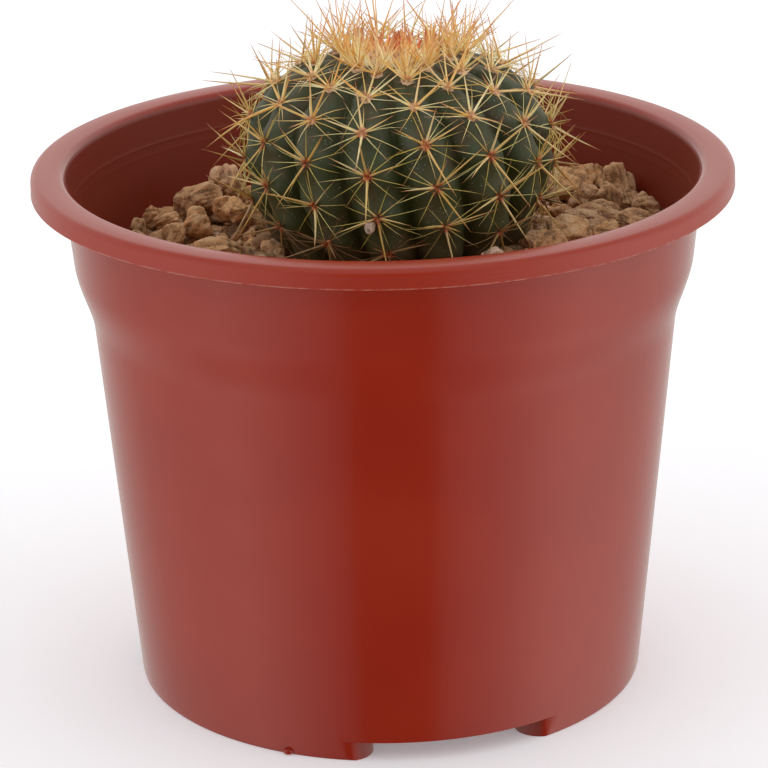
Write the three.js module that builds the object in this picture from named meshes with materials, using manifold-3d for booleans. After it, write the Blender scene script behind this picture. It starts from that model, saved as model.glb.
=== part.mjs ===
// A young round cactus growing in a plastic nursery pot, in millimetres, with +Z up.
// The origin is the middle of the circle that the pot's feet stand on. The front is -Y.
// Directions round a vertical axis are turns from the front towards +X, in radians.

import * as THREE from "three";
import { mergeVertices } from "three/addons/utils/BufferGeometryUtils.js";
import { ParametricGeometry } from "three/addons/geometries/ParametricGeometry.js";
import Module from "manifold-3d";

const wasm = await Module();
wasm.setup();

const DEGREE = Math.PI / 180;
const FULL_TURN = 2 * Math.PI;

// The gap left between two pieces that touch.
const GAP = 0.3;

// The pot: a tapered wall, a soft shoulder under a straight collar, and a rolled flange at the mouth.
const WALL = 1.2;
const POT_HEIGHT = 92;
const FOOT_RADIUS = 44.4;
const SHOULDER_LOW = { z: 64.9, radius: 50.2 };
const SHOULDER_HIGH = { z: 76.2, radius: 53.2 };
const COLLAR_RADIUS = 54.6;
const FLANGE_RADIUS = 60;
const FLANGE_SKIRT = 3.4;
const FLANGE_CORNER = 1;
const LIP_ROUNDING = 1.5;
const POT_SIDES = 60;

// Under the pot: three feet, parted by channels that let water out of the holes above them.
const CHANNELS = 3;
const CHANNEL_DIRECTION = 14 * DEGREE;
const CHANNEL_DEPTH = 3.6;
const CHANNEL_HALF_WIDTH = 12.5;
const FOOT_CORNER = 4.5;
const HUB_RADIUS = 26;
const DRAIN_RADIUS = 4;
const CHANNEL_DRAIN_AT = 35;
const DRAIN_SIDES = 16;

// The filling: soil, and gravel that lies higher on the right and in the middle.
const SOIL_TOP = 69;
const GRAVEL_LEVEL = 76.2;
const GRAVEL_RISE = 0.05;
const GRAVEL_MOUND = 1.6;
const STONE_SPACING = 8.5;
const STONE_SHAKE = 4;
const STONE_SHARE = 0.74;
const STONE_SHARE_UNEVEN = 0.16;
const STONE_GROOVE = 2.4;
const STONE_UNEVEN = 1.8;
const STONE_PEAK = 0.7;
const STEM_ROOM_SIDES = 30;

// The stem: a flattened ball on a short neck and a tapered root. Its upper half is lower and
// fuller than the lower one.
const STEM_X = 2.9;
const EQUATOR_Z = 93.8;
const STEM_RADIUS = 26;
const ABOVE = { reach: 16.7, roundness: 2.47 };
const BELOW = { reach: 23, roundness: 2.22 };
const RIBS = 15;
const FIRST_RIB = -58.6 * DEGREE;
const RIB_TWIST = -0.49 * DEGREE;
const FURROW_DEPTH = 3.4;
const FURROW_SHARPNESS = 2.6;
const FURROW_FULL_RADIUS = 0.6 * STEM_RADIUS;
const RIB_STATIONS = [-0.5, -0.36, -0.18, 0, 0.18, 0.36];
const NECK = { radius: 5, z: 66.5 };
const STEM_UNDERSIDE = 10;
const ROOT_TIP = { radius: 1.5, z: 46 };

// Spine cushions stand on the ribs in slanting rows, a step apart along each rib. The rows also
// rise and sink a little in two waves round the stem.
const CUSHION_STEP = 7.05;
const CUSHION_FIRST = 6.26;
const CUSHION_ROW_DROP = CUSHION_STEP / 3;
const CUSHION_WAVE = 1.6;
const CUSHION_WAVE_CREST = 8.5 * DEGREE;
const CUSHION_LOWEST_Z = 82.4;
const CUSHION_TO_CROWN = 1.45;
const CUSHION_RADIUS = 0.85;
const CUSHION_STANDS_OUT = 0.3 * CUSHION_RADIUS;
const CUSHION_TURN_SHAKE = 20 * DEGREE;
const CUSHION_INNER = { lean: 56 * DEGREE, size: CUSHION_RADIUS };
const CUSHION_OUTER = { lean: 100 * DEGREE, size: 1.1 * CUSHION_RADIUS };
const CUSHION_ROOT = 1.6 * CUSHION_RADIUS;
const SIDE_SPINE = { least: 6, most: 8.2 };
const MIDDLE_SPINE = { least: 8.5, most: 11 };
const LONG_SPINE = { least: 10.5, most: 13 };
const SPINE_FLOOR_Z = 82.6;
const SHORTEST_SPINE = 3.5;
const SPINE_CLEARANCE = 0.5;
const SPINE_TRIES = [1, 1, 0.9, 0.8, 0.65, 0.5];
const SPINE_PROBES = [0.1, 0.2, 0.3, 0.4, 0.5, 0.6, 0.7, 0.8, 0.9, 1];
const TUFT_PROBES = [0.4, 0.6, 0.8, 1];
const FURTHEST_NEIGHBOUR = 20;
const FOOT_WEIGHT = { least: 0.7, most: 1.3 };

// The crown: a woolly pad at the top, with a tuft of upright young spines.
const CROWN_RADIUS = 7.4;
const CROWN_DIP = 1.2;
const CROWN_RINGS = 6;
const CROWN_DOME = 1.3;
const TUFT_SPREAD = 30 * DEGREE;
const TUFT_SPINE = { least: 5, most: 12 };
const TUFT_MARGIN = 0.7;
const SPINE_TOP_Z = 121.5;

const FINISHES = {
  pot: { color: 0x97402f, roughness: 0.4 },
  soil: { color: 0x3b2a1e, roughness: 1 },
  gravel: { color: 0x9a7a5c, roughness: 0.9 },
  cactus: { color: 0x3d4f41, roughness: 0.55 },
  crown: { color: 0xcf9a55, roughness: 0.7 },
};

/** Random numbers from 0 to 1 that are the same on every run. */
function seededRandom(seed) {
  let state = seed;
  return () => {
    state = (state + 0x6d2b79f5) | 0;
    let bits = Math.imul(state ^ (state >>> 15), 1 | state);
    bits = (bits + Math.imul(bits ^ (bits >>> 7), 61 | bits)) ^ bits;
    return ((bits ^ (bits >>> 14)) >>> 0) / 4294967296;
  };
}

const between = (random, range) => THREE.MathUtils.lerp(range.least, range.most, random());

/** The point at a radius and a height, in a direction round the vertical line through centreX. */
function aroundAxis(radius, z, direction, centreX = 0) {
  return new THREE.Vector3(centreX + radius * Math.sin(direction), -radius * Math.cos(direction), z);
}

/** A closed geometry as a solid that can be joined and cut. */
function solidOf(geometry) {
  const bare = geometry.clone();
  bare.deleteAttribute("normal");
  bare.deleteAttribute("uv");
  const merged = mergeVertices(bare, 1e-4);
  const index = merged.index.array;
  const faces = [];
  for (let i = 0; i < index.length; i += 3) {
    const [a, b, c] = [index[i], index[i + 1], index[i + 2]];
    if (a !== b && b !== c && c !== a) faces.push(a, b, c);
  }
  return new wasm.Manifold(
    new wasm.Mesh({
      numProp: 3,
      vertProperties: new Float32Array(merged.attributes.position.array),
      triVerts: new Uint32Array(faces),
    }),
  );
}

/** A geometry from a list of points and a list of triangles that name them by number. */
function facetedGeometry(points, faces) {
  const coordinates = points.flatMap((point) => point.toArray());
  const geometry = new THREE.BufferGeometry();
  geometry.setAttribute("position", new THREE.Float32BufferAttribute(coordinates, 3));
  geometry.setIndex(faces.flat());
  return geometry;
}

/** A solid as a named mesh with the finish of that name. */
function namedMesh(name, solid) {
  const { vertProperties, triVerts } = solid.getMesh();
  const geometry = new THREE.BufferGeometry();
  geometry.setAttribute("position", new THREE.BufferAttribute(vertProperties, 3));
  geometry.setIndex(new THREE.BufferAttribute(triVerts, 1));
  geometry.computeVertexNormals();
  const mesh = new THREE.Mesh(geometry, new THREE.MeshStandardMaterial(FINISHES[name]));
  mesh.name = name;
  return mesh;
}

/** All solids of a list joined in one. */
const joined = (solids) => wasm.Manifold.union(solids);

/** A body turned about the vertical line through centreX, from a profile of [radius, z] points. */
function turned(profile, sides, centreX = 0) {
  const points = profile.map(([radius, z]) => new THREE.Vector2(radius, z));
  const geometry = new THREE.LatheGeometry(points, sides);
  geometry.rotateX(Math.PI / 2);
  geometry.translate(centreX, 0, 0);
  return solidOf(geometry);
}

/** An upright prism on a plan outline, from z = low to z = high. */
function prism(shape, low, high, curveSegments) {
  const settings = { depth: high - low, bevelEnabled: false, curveSegments };
  const geometry = new THREE.ExtrudeGeometry(shape, settings);
  geometry.translate(0, 0, low);
  return solidOf(geometry);
}

/** Points of a quarter round in a profile, from one angle to another about a centre. */
function arcPoints(radius, z, size, from, to, steps) {
  return Array.from({ length: steps + 1 }, (_, i) => {
    const angle = THREE.MathUtils.lerp(from, to, i / steps);
    return [radius + size * Math.cos(angle), z + size * Math.sin(angle)];
  });
}

/** The outside of the pot's wall up to the collar, pulled in by a distance; the shoulder is an S. */
function wallProfile(inset) {
  const shoulder = [0, 0.5, 1].map((t) => {
    const ease = THREE.MathUtils.smoothstep(t, 0, 1);
    const radius = THREE.MathUtils.lerp(SHOULDER_LOW.radius, SHOULDER_HIGH.radius, ease);
    return [radius - inset, THREE.MathUtils.lerp(SHOULDER_LOW.z, SHOULDER_HIGH.z, t)];
  });
  return [[FOOT_RADIUS - inset, 0], ...shoulder, [COLLAR_RADIUS - inset, POT_HEIGHT - WALL]];
}

/** The pot's outside, filled: wall, flange with its turned-down skirt, and a flat top. */
function potOutside() {
  const skirtInside = FLANGE_RADIUS - WALL;
  const cornerZ = POT_HEIGHT - FLANGE_CORNER;
  return turned([
    [0, 0],
    ...wallProfile(0),
    [skirtInside, POT_HEIGHT - WALL],
    [skirtInside, POT_HEIGHT - FLANGE_SKIRT],
    [FLANGE_RADIUS, POT_HEIGHT - FLANGE_SKIRT],
    ...arcPoints(FLANGE_RADIUS - FLANGE_CORNER, cornerZ, FLANGE_CORNER, 0, Math.PI / 2, 2),
    [0, POT_HEIGHT],
  ], POT_SIDES);
}

/** The plan outline of one drain channel along +X, which flares round the corners of two feet. */
function channelShape(clearance) {
  const half = CHANNEL_HALF_WIDTH + clearance;
  const corner = FOOT_CORNER - clearance;
  const cornerAcross = CHANNEL_HALF_WIDTH + FOOT_CORNER;
  const cornerAlong = Math.sqrt((FOOT_RADIUS - FOOT_CORNER) ** 2 - cornerAcross ** 2);
  const flare = Math.atan2(cornerAcross, cornerAlong);
  const beyond = [2 * FLANGE_RADIUS * Math.cos(flare), 2 * FLANGE_RADIUS * Math.sin(flare)];
  const shape = new THREE.Shape();
  shape.moveTo(0, -half);
  shape.absarc(cornerAlong, -cornerAcross, corner, Math.PI / 2, -flare, true);
  shape.lineTo(beyond[0], -beyond[1]);
  shape.lineTo(beyond[0], beyond[1]);
  shape.absarc(cornerAlong, cornerAcross, corner, flare, -Math.PI / 2, true);
  shape.lineTo(0, half);
  shape.closePath();
  return shape;
}

/** The hub and the channels under the floor, grown by a distance to the sides and upwards. */
function underside(clearance) {
  const top = CHANNEL_DEPTH + clearance;
  const hubRadius = HUB_RADIUS + clearance;
  const hub = turned([[0, -WALL], [hubRadius, -WALL], [hubRadius, top], [0, top]], POT_SIDES);
  const channel = prism(channelShape(clearance), -WALL, top, 3);
  const channels = channelDirections().map((direction) => channel.rotate([0, 0, direction / DEGREE - 90]));
  return joined([hub, ...channels]);
}

const channelDirections = () =>
  Array.from({ length: CHANNELS }, (_, i) => CHANNEL_DIRECTION + (i * FULL_TURN) / CHANNELS);

/** The room inside the pot, with its sides and floor pulled in by a distance. */
function potRoom(clearance) {
  const inset = WALL + clearance;
  const [, ...wall] = wallProfile(inset);
  const mouth = COLLAR_RADIUS - inset;
  const floor = [[0, inset], [FOOT_RADIUS - inset, inset]];
  const roundedMouth = arcPoints(
    mouth + LIP_ROUNDING, POT_HEIGHT - LIP_ROUNDING, LIP_ROUNDING, Math.PI, Math.PI / 2, 2,
  );
  const above = POT_HEIGHT + WALL;
  const room = turned([
    ...floor,
    ...wall.slice(0, -1),
    ...roundedMouth,
    [mouth + LIP_ROUNDING, above],
    [0, above],
  ], POT_SIDES);
  return room.subtract(underside(inset));
}

/** The round holes through the floor: one at the middle and one in each channel. */
function drainHoles() {
  const hole = new THREE.CylinderGeometry(DRAIN_RADIUS, DRAIN_RADIUS, 4 * CHANNEL_DEPTH, DRAIN_SIDES);
  hole.rotateX(Math.PI / 2);
  const outer = channelDirections().map((direction) => aroundAxis(CHANNEL_DRAIN_AT, 0, direction));
  const places = [new THREE.Vector3(), ...outer];
  return joined(places.map((place) => solidOf(hole.clone().translate(place.x, place.y, 0))));
}

function makePot() {
  return potOutside().subtract(underside(0)).subtract(potRoom(0)).subtract(drainHoles());
}

/** Height above or below the equator of a rib's crest, at a radius. */
function crestHeight(radius, { reach, roundness }) {
  return reach * (1 - (radius / STEM_RADIUS) ** roundness) ** (1 / roundness);
}

/** Radius of a rib's crest at a slope angle from the equator. */
const crestRadius = (slope, { roundness }) => STEM_RADIUS * Math.cos(slope) ** (2 / roundness);

const crownEdgeZ = EQUATOR_Z + crestHeight(CROWN_RADIUS, ABOVE);

/** The line of a rib's crest, from the root's tip over the equator to the middle of the crown. */
function crestLine() {
  const ball = (slope, half) => {
    const radius = crestRadius(slope, half);
    return [radius, EQUATOR_Z + Math.sign(slope) * crestHeight(radius, half)];
  };
  const below = [-64, -50, -37, -24, -11].map((slope) => ball(slope * DEGREE, BELOW));
  const above = [1, 11, 21, 31, 41, 51, 60, 68].map((slope) => ball(slope * DEGREE, ABOVE));
  const root = [[0, ROOT_TIP.z - 1], [ROOT_TIP.radius, ROOT_TIP.z], [NECK.radius, NECK.z]];
  return [...root, ...below, ...above, [CROWN_RADIUS, crownEdgeZ], [0, crownEdgeZ - CROWN_DIP]];
}

/** How far the stem's surface lies inside the crest at a place between two furrows (-0.5 to 0.5). */
function ribHollow(station, radius) {
  const fullness = THREE.MathUtils.smoothstep(radius, NECK.radius, FURROW_FULL_RADIUS);
  return FURROW_DEPTH * fullness * Math.abs(2 * station) ** FURROW_SHARPNESS;
}

const ribDirection = (rib, z) => FIRST_RIB + (rib * FULL_TURN) / RIBS + RIB_TWIST * (z - EQUATOR_Z);

/** The ribbed stem and its root, as a grid of crest-line points carried round the ribs. */
function makeStem() {
  const line = crestLine();
  const columns = RIBS * RIB_STATIONS.length;
  const surface = (u, v, target) => {
    const column = Math.round(u * columns) % columns;
    const rib = Math.floor(column / RIB_STATIONS.length);
    const station = RIB_STATIONS[column % RIB_STATIONS.length];
    const [crest, z] = line[Math.round(v * (line.length - 1))];
    const radius = crest - ribHollow(station, crest);
    target.copy(aroundAxis(radius, z, ribDirection(rib + station, z), STEM_X));
  };
  return solidOf(new ParametricGeometry(surface, columns, line.length - 1));
}

/** Places along the crest above and below the equator, by the length of crest between. */
function crestPlace(arcLength) {
  const half = arcLength > 0 ? ABOVE : BELOW;
  const stepSlope = 0.25 * DEGREE;
  let [radius, height, length, slope] = [STEM_RADIUS, 0, 0, 0];
  while (length < Math.abs(arcLength) && slope < Math.PI / 2 - stepSlope) {
    slope += stepSlope;
    const nextRadius = crestRadius(slope, half);
    const nextHeight = crestHeight(nextRadius, half);
    length += Math.hypot(nextRadius - radius, nextHeight - height);
    [radius, height] = [nextRadius, nextHeight];
  }
  return { radius, z: EQUATOR_Z + Math.sign(arcLength) * height };
}

/** The places of the spine cushions: on the crests, in rows that slant down from rib to rib. */
function cushionPlaces() {
  const places = [];
  const innermost = CROWN_RADIUS + CUSHION_TO_CROWN;
  for (let rib = 0; rib < RIBS; rib += 1) {
    const atEquator = ribDirection(rib, EQUATOR_Z);
    const wave = CUSHION_WAVE * Math.cos(2 * (atEquator - CUSHION_WAVE_CREST));
    const first = (CUSHION_FIRST - rib * CUSHION_ROW_DROP + wave) % CUSHION_STEP;
    for (let step = -3; step <= 5; step += 1) {
      const along = first + step * CUSHION_STEP;
      const { radius, z } = crestPlace(along);
      if (z > CUSHION_LOWEST_Z && radius > innermost) places.push({ rib, along });
    }
  }
  return places;
}

/** Axes at a place on a crest: out of the stem, up along the rib, and across it. */
function crestAxes({ rib, along }) {
  const ahead = crestPlace(along + 0.5);
  const { radius, z } = crestPlace(along);
  const direction = ribDirection(rib, z);
  const centre = aroundAxis(radius, z, direction, STEM_X);
  const next = aroundAxis(ahead.radius, ahead.z, ribDirection(rib, ahead.z), STEM_X);
  const up = next.sub(centre).normalize();
  const across = new THREE.Vector3(Math.cos(direction), Math.sin(direction), 0);
  across.addScaledVector(up, -across.dot(up)).normalize();
  return { centre, up, across, out: up.clone().cross(across).negate() };
}

/** The space kept for the crown's tuft is a cone that opens upwards. */
function inTuft(point, margin) {
  const rise = point.z - crownEdgeZ;
  const radius = Math.hypot(point.x - STEM_X, point.y);
  return rise > -margin && radius < CROWN_RADIUS + margin + Math.max(rise, 0) * Math.tan(TUFT_SPREAD);
}

/** The length a spine may have: it stops over the gravel and at its top, and is left out in the tuft. */
function clearLength(start, heading, wanted) {
  const limit = heading.z < 0 ? SPINE_FLOOR_Z : SPINE_TOP_Z;
  const length = Math.min(wanted, Math.max((limit - start.z) / heading.z, 0));
  const crosses = TUFT_PROBES.some((part) => {
    return inTuft(start.clone().addScaledVector(heading, part * length), TUFT_MARGIN);
  });
  return crosses || length < SHORTEST_SPINE ? 0 : length;
}

/** Whether a spine keeps clear of those of other cushions, which stand already. */
function standsClear(spine, standing) {
  const nearest = new THREE.Vector3();
  const point = new THREE.Vector3();
  return standing.every((other) => {
    if (spine.start.distanceTo(other.start) > FURTHEST_NEIGHBOUR) return true;
    return SPINE_PROBES.every((part) => {
      spine.at(part, point);
      other.closestPointToPoint(point, true, nearest);
      return point.distanceTo(nearest) > SPINE_CLEARANCE;
    });
  });
}

/** A random place near the middle of a three-cornered facet. */
function placeOnFacet(corners, random) {
  const weights = corners.map(() => between(random, FOOT_WEIGHT));
  const total = weights.reduce((sum, weight) => sum + weight);
  const place = new THREE.Vector3();
  corners.forEach((corner, i) => place.addScaledVector(corner, weights[i] / total));
  return place;
}

/** The three faces that stand in for a facet once its middle is pulled out to a tip. */
const pulledOut = ([a, b, c], tip) => [[a, b, tip], [b, c, tip], [c, a, tip]];

/**
 * A cushion with its spines: a small round body of 20 facets, sunk in the crest. Each of the ten
 * facets round its side is pulled out to a side spine, and each of the five on top to a middle one.
 */
function makeCushion(place, standing, random) {
  const { centre, up, across, out } = crestAxes(place);
  const middle = centre.clone().addScaledVector(out, CUSHION_STANDS_OUT);
  const fifth = FULL_TURN / 5;
  const turnBy = Math.PI + fifth / 2 + (random() - 0.5) * CUSHION_TURN_SHAKE;
  const corner = (lean, round, size) => {
    const sideways = size * Math.sin(lean);
    return middle
      .clone()
      .addScaledVector(out, size * Math.cos(lean))
      .addScaledVector(up, sideways * Math.cos(round))
      .addScaledVector(across, sideways * Math.sin(round));
  };
  const ringOfFive = ({ lean, size }, from) =>
    [0, 1, 2, 3, 4].map((i) => corner(lean, from + i * fifth, size));
  const points = [
    corner(0, 0, CUSHION_RADIUS),
    corner(Math.PI, 0, CUSHION_ROOT),
    ...ringOfFive(CUSHION_INNER, turnBy),
    ...ringOfFive(CUSHION_OUTER, turnBy + fifth / 2),
  ];
  const [top, bottom, firstInner, firstOuter] = [0, 1, 2, 7];
  const faces = [];
  const own = [];
  const raise = (facet, wanted) => {
    for (const part of SPINE_TRIES) {
      const foot = placeOnFacet(facet.map((i) => points[i]), random);
      const heading = foot.clone().sub(middle).normalize();
      const length = clearLength(foot, heading, part * wanted);
      const spine = new THREE.Line3(foot, foot.clone().addScaledVector(heading, length));
      if (length > 0 && standsClear(spine, standing)) {
        own.push(spine);
        faces.push(...pulledOut(facet, points.push(spine.end) - 1));
        return;
      }
    }
    faces.push(facet);
  };
  for (let i = 0; i < 5; i += 1) {
    const next = (i + 1) % 5;
    const [a, b, c, d] = [firstInner + i, firstInner + next, firstOuter + i, firstOuter + next];
    raise([top, b, a], between(random, i === 4 ? LONG_SPINE : MIDDLE_SPINE));
    raise([a, b, c], between(random, SIDE_SPINE));
    raise([b, d, c], between(random, SIDE_SPINE));
    faces.push([bottom, c, d]);
  }
  standing.push(...own);
  return solidOf(facetedGeometry(points, faces));
}

function makeCactus() {
  const random = seededRandom(11);
  const standing = [];
  const cushions = cushionPlaces().map((place) => makeCushion(place, standing, random));
  return largestPiece(joined([makeStem(), ...cushions]));
}

/** The biggest of the bodies that a solid falls into, so that no loose scrap stays. */
function largestPiece(solid) {
  return solid.decompose().reduce((best, next) => (next.volume() > best.volume() ? next : best));
}

/** A disc of rings of triangles: ring n has 6n corners. */
function discGrid(rings) {
  const corners = [[0, 0]];
  const faces = [];
  const start = (ring) => (ring === 0 ? 0 : 1 + 3 * ring * (ring - 1));
  const corner = (ring, i) => (ring === 0 ? 0 : start(ring) + (i % (6 * ring)));
  for (let ring = 1; ring <= rings; ring += 1) {
    const count = 6 * ring;
    for (let i = 0; i < count; i += 1) corners.push([ring / rings, (i * FULL_TURN) / count]);
    for (let sector = 0; sector < 6; sector += 1) {
      for (let i = 0; i < ring; i += 1) {
        const outer = sector * ring + i;
        const inner = sector * (ring - 1) + i;
        const [near, far] = [corner(ring - 1, inner), corner(ring, outer + 1)];
        faces.push([corner(ring, outer), far, near]);
        if (i < ring - 1) faces.push([near, far, corner(ring - 1, inner + 1)]);
      }
    }
  }
  return { corners, faces, rim: start(rings), rimCorners: 6 * rings };
}

/** The crown: a low dome of wool over the dip at the top, each facet pulled up to a young spine. */
function makeCrown() {
  const random = seededRandom(29);
  const { corners, faces: facets, rim, rimCorners } = discGrid(CROWN_RINGS);
  const edge = crownEdgeZ + GAP;
  const points = corners.map(([part, direction]) => {
    const rise = CROWN_DOME * (1 - part * part);
    return aroundAxis(part * CROWN_RADIUS, edge + GAP + rise, direction, STEM_X);
  });
  const spread = aroundAxis(0, edge - CROWN_RADIUS / Math.tan(TUFT_SPREAD), 0, STEM_X);
  const faces = [];
  for (const facet of facets) {
    const foot = placeOnFacet(facet.map((i) => points[i]), random);
    const heading = foot.clone().sub(spread).normalize();
    const length = Math.min(between(random, TUFT_SPINE), (SPINE_TOP_Z - foot.z) / heading.z);
    faces.push(...pulledOut(facet, points.push(foot.addScaledVector(heading, length)) - 1));
  }
  const base = points.push(aroundAxis(0, edge - CROWN_DIP, 0, STEM_X)) - 1;
  for (let i = 0; i < rimCorners; i += 1) faces.push([base, rim + ((i + 1) % rimCorners), rim + i]);
  return solidOf(facetedGeometry(points, faces));
}

/** The room that the stem takes up in the filling: the round outline of its crests, a gap larger. */
function stemRoom() {
  const line = crestLine().filter(([radius]) => radius > 0);
  const below = line.filter(([, z]) => z < EQUATOR_Z);
  const undersideTop = NECK.z + STEM_UNDERSIDE;
  const grown = below.map(([radius, z]) => [radius + GAP, z < undersideTop ? z - GAP : z]);
  return turned([
    [0, ROOT_TIP.z - 1 - GAP],
    ...grown,
    [STEM_RADIUS + GAP, EQUATOR_Z],
    [0, EQUATOR_Z],
  ], STEM_ROOM_SIDES, STEM_X);
}

function makeSoil() {
  const slab = turned([[0, 0], [FLANGE_RADIUS, 0], [FLANGE_RADIUS, SOIL_TOP], [0, SOIL_TOP]], POT_SIDES);
  return largestPiece(potRoom(GAP).intersect(slab).subtract(stemRoom()));
}

/** The height of the gravel at a place: higher on the right, and heaped up at the stem. */
function gravelHeight(x, y) {
  const fromStem = Math.hypot(x - STEM_X, y) / FOOT_RADIUS;
  return GRAVEL_LEVEL + GRAVEL_RISE * x + GRAVEL_MOUND * (1 - fromStem);
}

/** A round surface of triangles made solid: walls under its open edges, and a flat bottom. */
function solidDownTo(bottomZ, points, faces) {
  const open = new Map();
  for (const [a, b, c] of faces) {
    for (const [from, to] of [[a, b], [b, c], [c, a]]) {
      if (!open.delete(`${to} ${from}`)) open.set(`${from} ${to}`, [from, to]);
    }
  }
  const all = [...points];
  const bottoms = new Map();
  for (const [corner] of open.values()) {
    bottoms.set(corner, all.push(points[corner].clone().setZ(bottomZ)) - 1);
  }
  const middle = all.push(new THREE.Vector3(0, 0, bottomZ)) - 1;
  const walls = [...open.values()].flatMap(([a, b]) => {
    const [lowA, lowB] = [bottoms.get(a), bottoms.get(b)];
    return [[b, a, lowA], [b, lowA, lowB], [middle, lowB, lowA]];
  });
  return solidOf(facetedGeometry(all, [...faces, ...walls]));
}

/**
 * Gravel as a honeycomb of packed stones. The middle of each cell is shaken out of place, and its
 * corners lie midway between three middles, low down. Inside them a ring of six corners at uneven
 * heights and a peak make the top of the stone.
 */
function stoneBed() {
  const random = seededRandom(5);
  const shake = (amount) => (random() - 0.5) * amount;
  const rowStep = STONE_SPACING * Math.sqrt(0.75);
  const reach = Math.ceil(FLANGE_RADIUS / rowStep) + 1;
  const points = [];
  const faces = [];
  const middles = new Map();
  for (let row = -reach; row <= reach; row += 1) {
    for (let column = -2 * reach; column <= 2 * reach; column += 1) {
      const x = (column + row / 2) * STONE_SPACING + shake(STONE_SHAKE);
      middles.set(`${row} ${column}`, new THREE.Vector3(x, row * rowStep + shake(STONE_SHAKE), 0));
    }
  }
  const lowCorners = new Map();
  const lowCorner = (keys) => {
    const key = [...keys].sort().join();
    if (!lowCorners.has(key)) {
      const corner = new THREE.Vector3();
      keys.forEach((name) => corner.addScaledVector(middles.get(name), 1 / 3));
      corner.z = gravelHeight(corner.x, corner.y) - STONE_GROOVE + shake(STONE_UNEVEN);
      lowCorners.set(key, points.push(corner) - 1);
    }
    return lowCorners.get(key);
  };
  const around = [[0, 1], [1, 0], [1, -1], [0, -1], [-1, 0], [-1, 1]];
  for (const [key, middle] of middles) {
    if (middle.length() > COLLAR_RADIUS + STONE_SPACING / 4) continue;
    const [row, column] = key.split(" ").map(Number);
    const neighbours = around.map(([up, along]) => `${row + up} ${column + along}`);
    const level = gravelHeight(middle.x, middle.y) + shake(STONE_UNEVEN);
    const peak = points.push(middle.clone().setZ(level + STONE_PEAK)) - 1;
    const lows = neighbours.map((name, i) => lowCorner([key, name, neighbours[(i + 1) % 6]]));
    const ring = lows.map((low) => {
      const corner = middle.clone().lerp(points[low], STONE_SHARE + shake(STONE_SHARE_UNEVEN));
      return points.push(corner.setZ(level + shake(STONE_UNEVEN))) - 1;
    });
    lows.forEach((low, i) => {
      const next = (i + 1) % 6;
      faces.push([peak, ring[i], ring[next]]);
      faces.push([ring[i], low, lows[next]], [ring[i], lows[next], ring[next]]);
    });
  }
  return solidDownTo(SOIL_TOP + GAP, points, faces);
}

function makeGravel() {
  return largestPiece(stoneBed().intersect(potRoom(GAP)).subtract(stemRoom()));
}

const group = new THREE.Group();
group.add(namedMesh("pot", makePot()));
group.add(namedMesh("soil", makeSoil()));
group.add(namedMesh("gravel", makeGravel()));
group.add(namedMesh("cactus", makeCactus()));
group.add(namedMesh("crown", makeCrown()));

export default group;
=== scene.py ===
"""A young round cactus, growing in gravel in a red-brown plastic nursery pot.

Lengths are named in millimetres, and MM turns them into metres. The origin is the middle of the
circle that the pot's feet stand on, +Z is up and the front is -Y. A direction round an upright
axis is a turn from the front towards +X, in radians.
"""

import math

import bmesh
import bpy
import numpy as np
from mathutils import Matrix, Vector


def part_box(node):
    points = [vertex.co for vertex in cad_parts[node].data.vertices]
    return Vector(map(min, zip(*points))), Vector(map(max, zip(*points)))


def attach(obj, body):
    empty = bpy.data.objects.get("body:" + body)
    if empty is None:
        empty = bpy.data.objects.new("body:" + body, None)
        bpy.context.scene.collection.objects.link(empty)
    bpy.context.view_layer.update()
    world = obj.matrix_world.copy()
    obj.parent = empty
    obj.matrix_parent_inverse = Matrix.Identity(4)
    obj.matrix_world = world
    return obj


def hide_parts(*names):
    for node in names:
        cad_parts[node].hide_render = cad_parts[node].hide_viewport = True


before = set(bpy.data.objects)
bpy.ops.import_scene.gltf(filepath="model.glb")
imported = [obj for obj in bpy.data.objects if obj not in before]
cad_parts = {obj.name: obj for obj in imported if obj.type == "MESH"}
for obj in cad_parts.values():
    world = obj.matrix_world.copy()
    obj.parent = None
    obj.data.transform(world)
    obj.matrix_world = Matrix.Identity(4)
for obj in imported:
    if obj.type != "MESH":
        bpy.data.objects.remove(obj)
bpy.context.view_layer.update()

MM = 0.001
DEGREE = math.pi / 180
TURN = 2 * math.pi

# The camera stands in front of the pot, a little above it, and leans over by a degree.
CAMERA_PLACE = (0.0, -567.47, 259.24)
CAMERA_AIM = (-0.39, 0.0, 51.25)
CAMERA_LEAN = 0.991 * DEGREE
CAMERA_LENS = 162.13
SENSOR_WIDTH = 36.0

# The pot: a tapered wall, a soft shoulder under a straight collar, and a rolled flange. The surface
# deeper within the outside than INSIDE_DEPTH has the dull look of the inside.
WALL = 1.2
POT_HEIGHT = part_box("pot")[1].z / MM
FLANGE_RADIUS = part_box("pot")[1].x / MM
FOOT_RADIUS = 44.4
SHOULDER_LOW = (50.2, 64.9)
SHOULDER_HIGH = (53.2, 76.2)
SHOULDER_STRAIGHT = 0.35
COLLAR_RADIUS = 54.6
SKIRT_DROP = 3.4
FLANGE_CORNER = 1.2
FLANGE_MIDDLE = 57.2
FLANGE_DOME = 15.0
MOUTH_RADIUS = 53.9
LIP_ROUNDING = 1.5
EDGE_ROUNDING = 0.35
COVE_ROUNDING = 0.8
SKIRT_ROUNDING = 0.6
INSIDE_DEPTH = 0.7
SHARP_ANGLE = 38 * DEGREE
POT_COLUMNS = 240

# The mould line at the skirt's edge: points counted from the flange's radius and that edge.
MOULD_LINE = ((-0.14, 0.0), (0.0, 0.1), (-0.05, 0.3))

# Two ridges inside, near the mouth: the height and rise of each, and the section of both.
INNER_RIDGES = ((84.0, 0.015), (85.8, 0.025))
RIDGE_SECTION = ((-0.8, 0), (-0.25, 0), (-0.06, 1), (0.06, 1), (0.25, 0), (0.8, 0))

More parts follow.
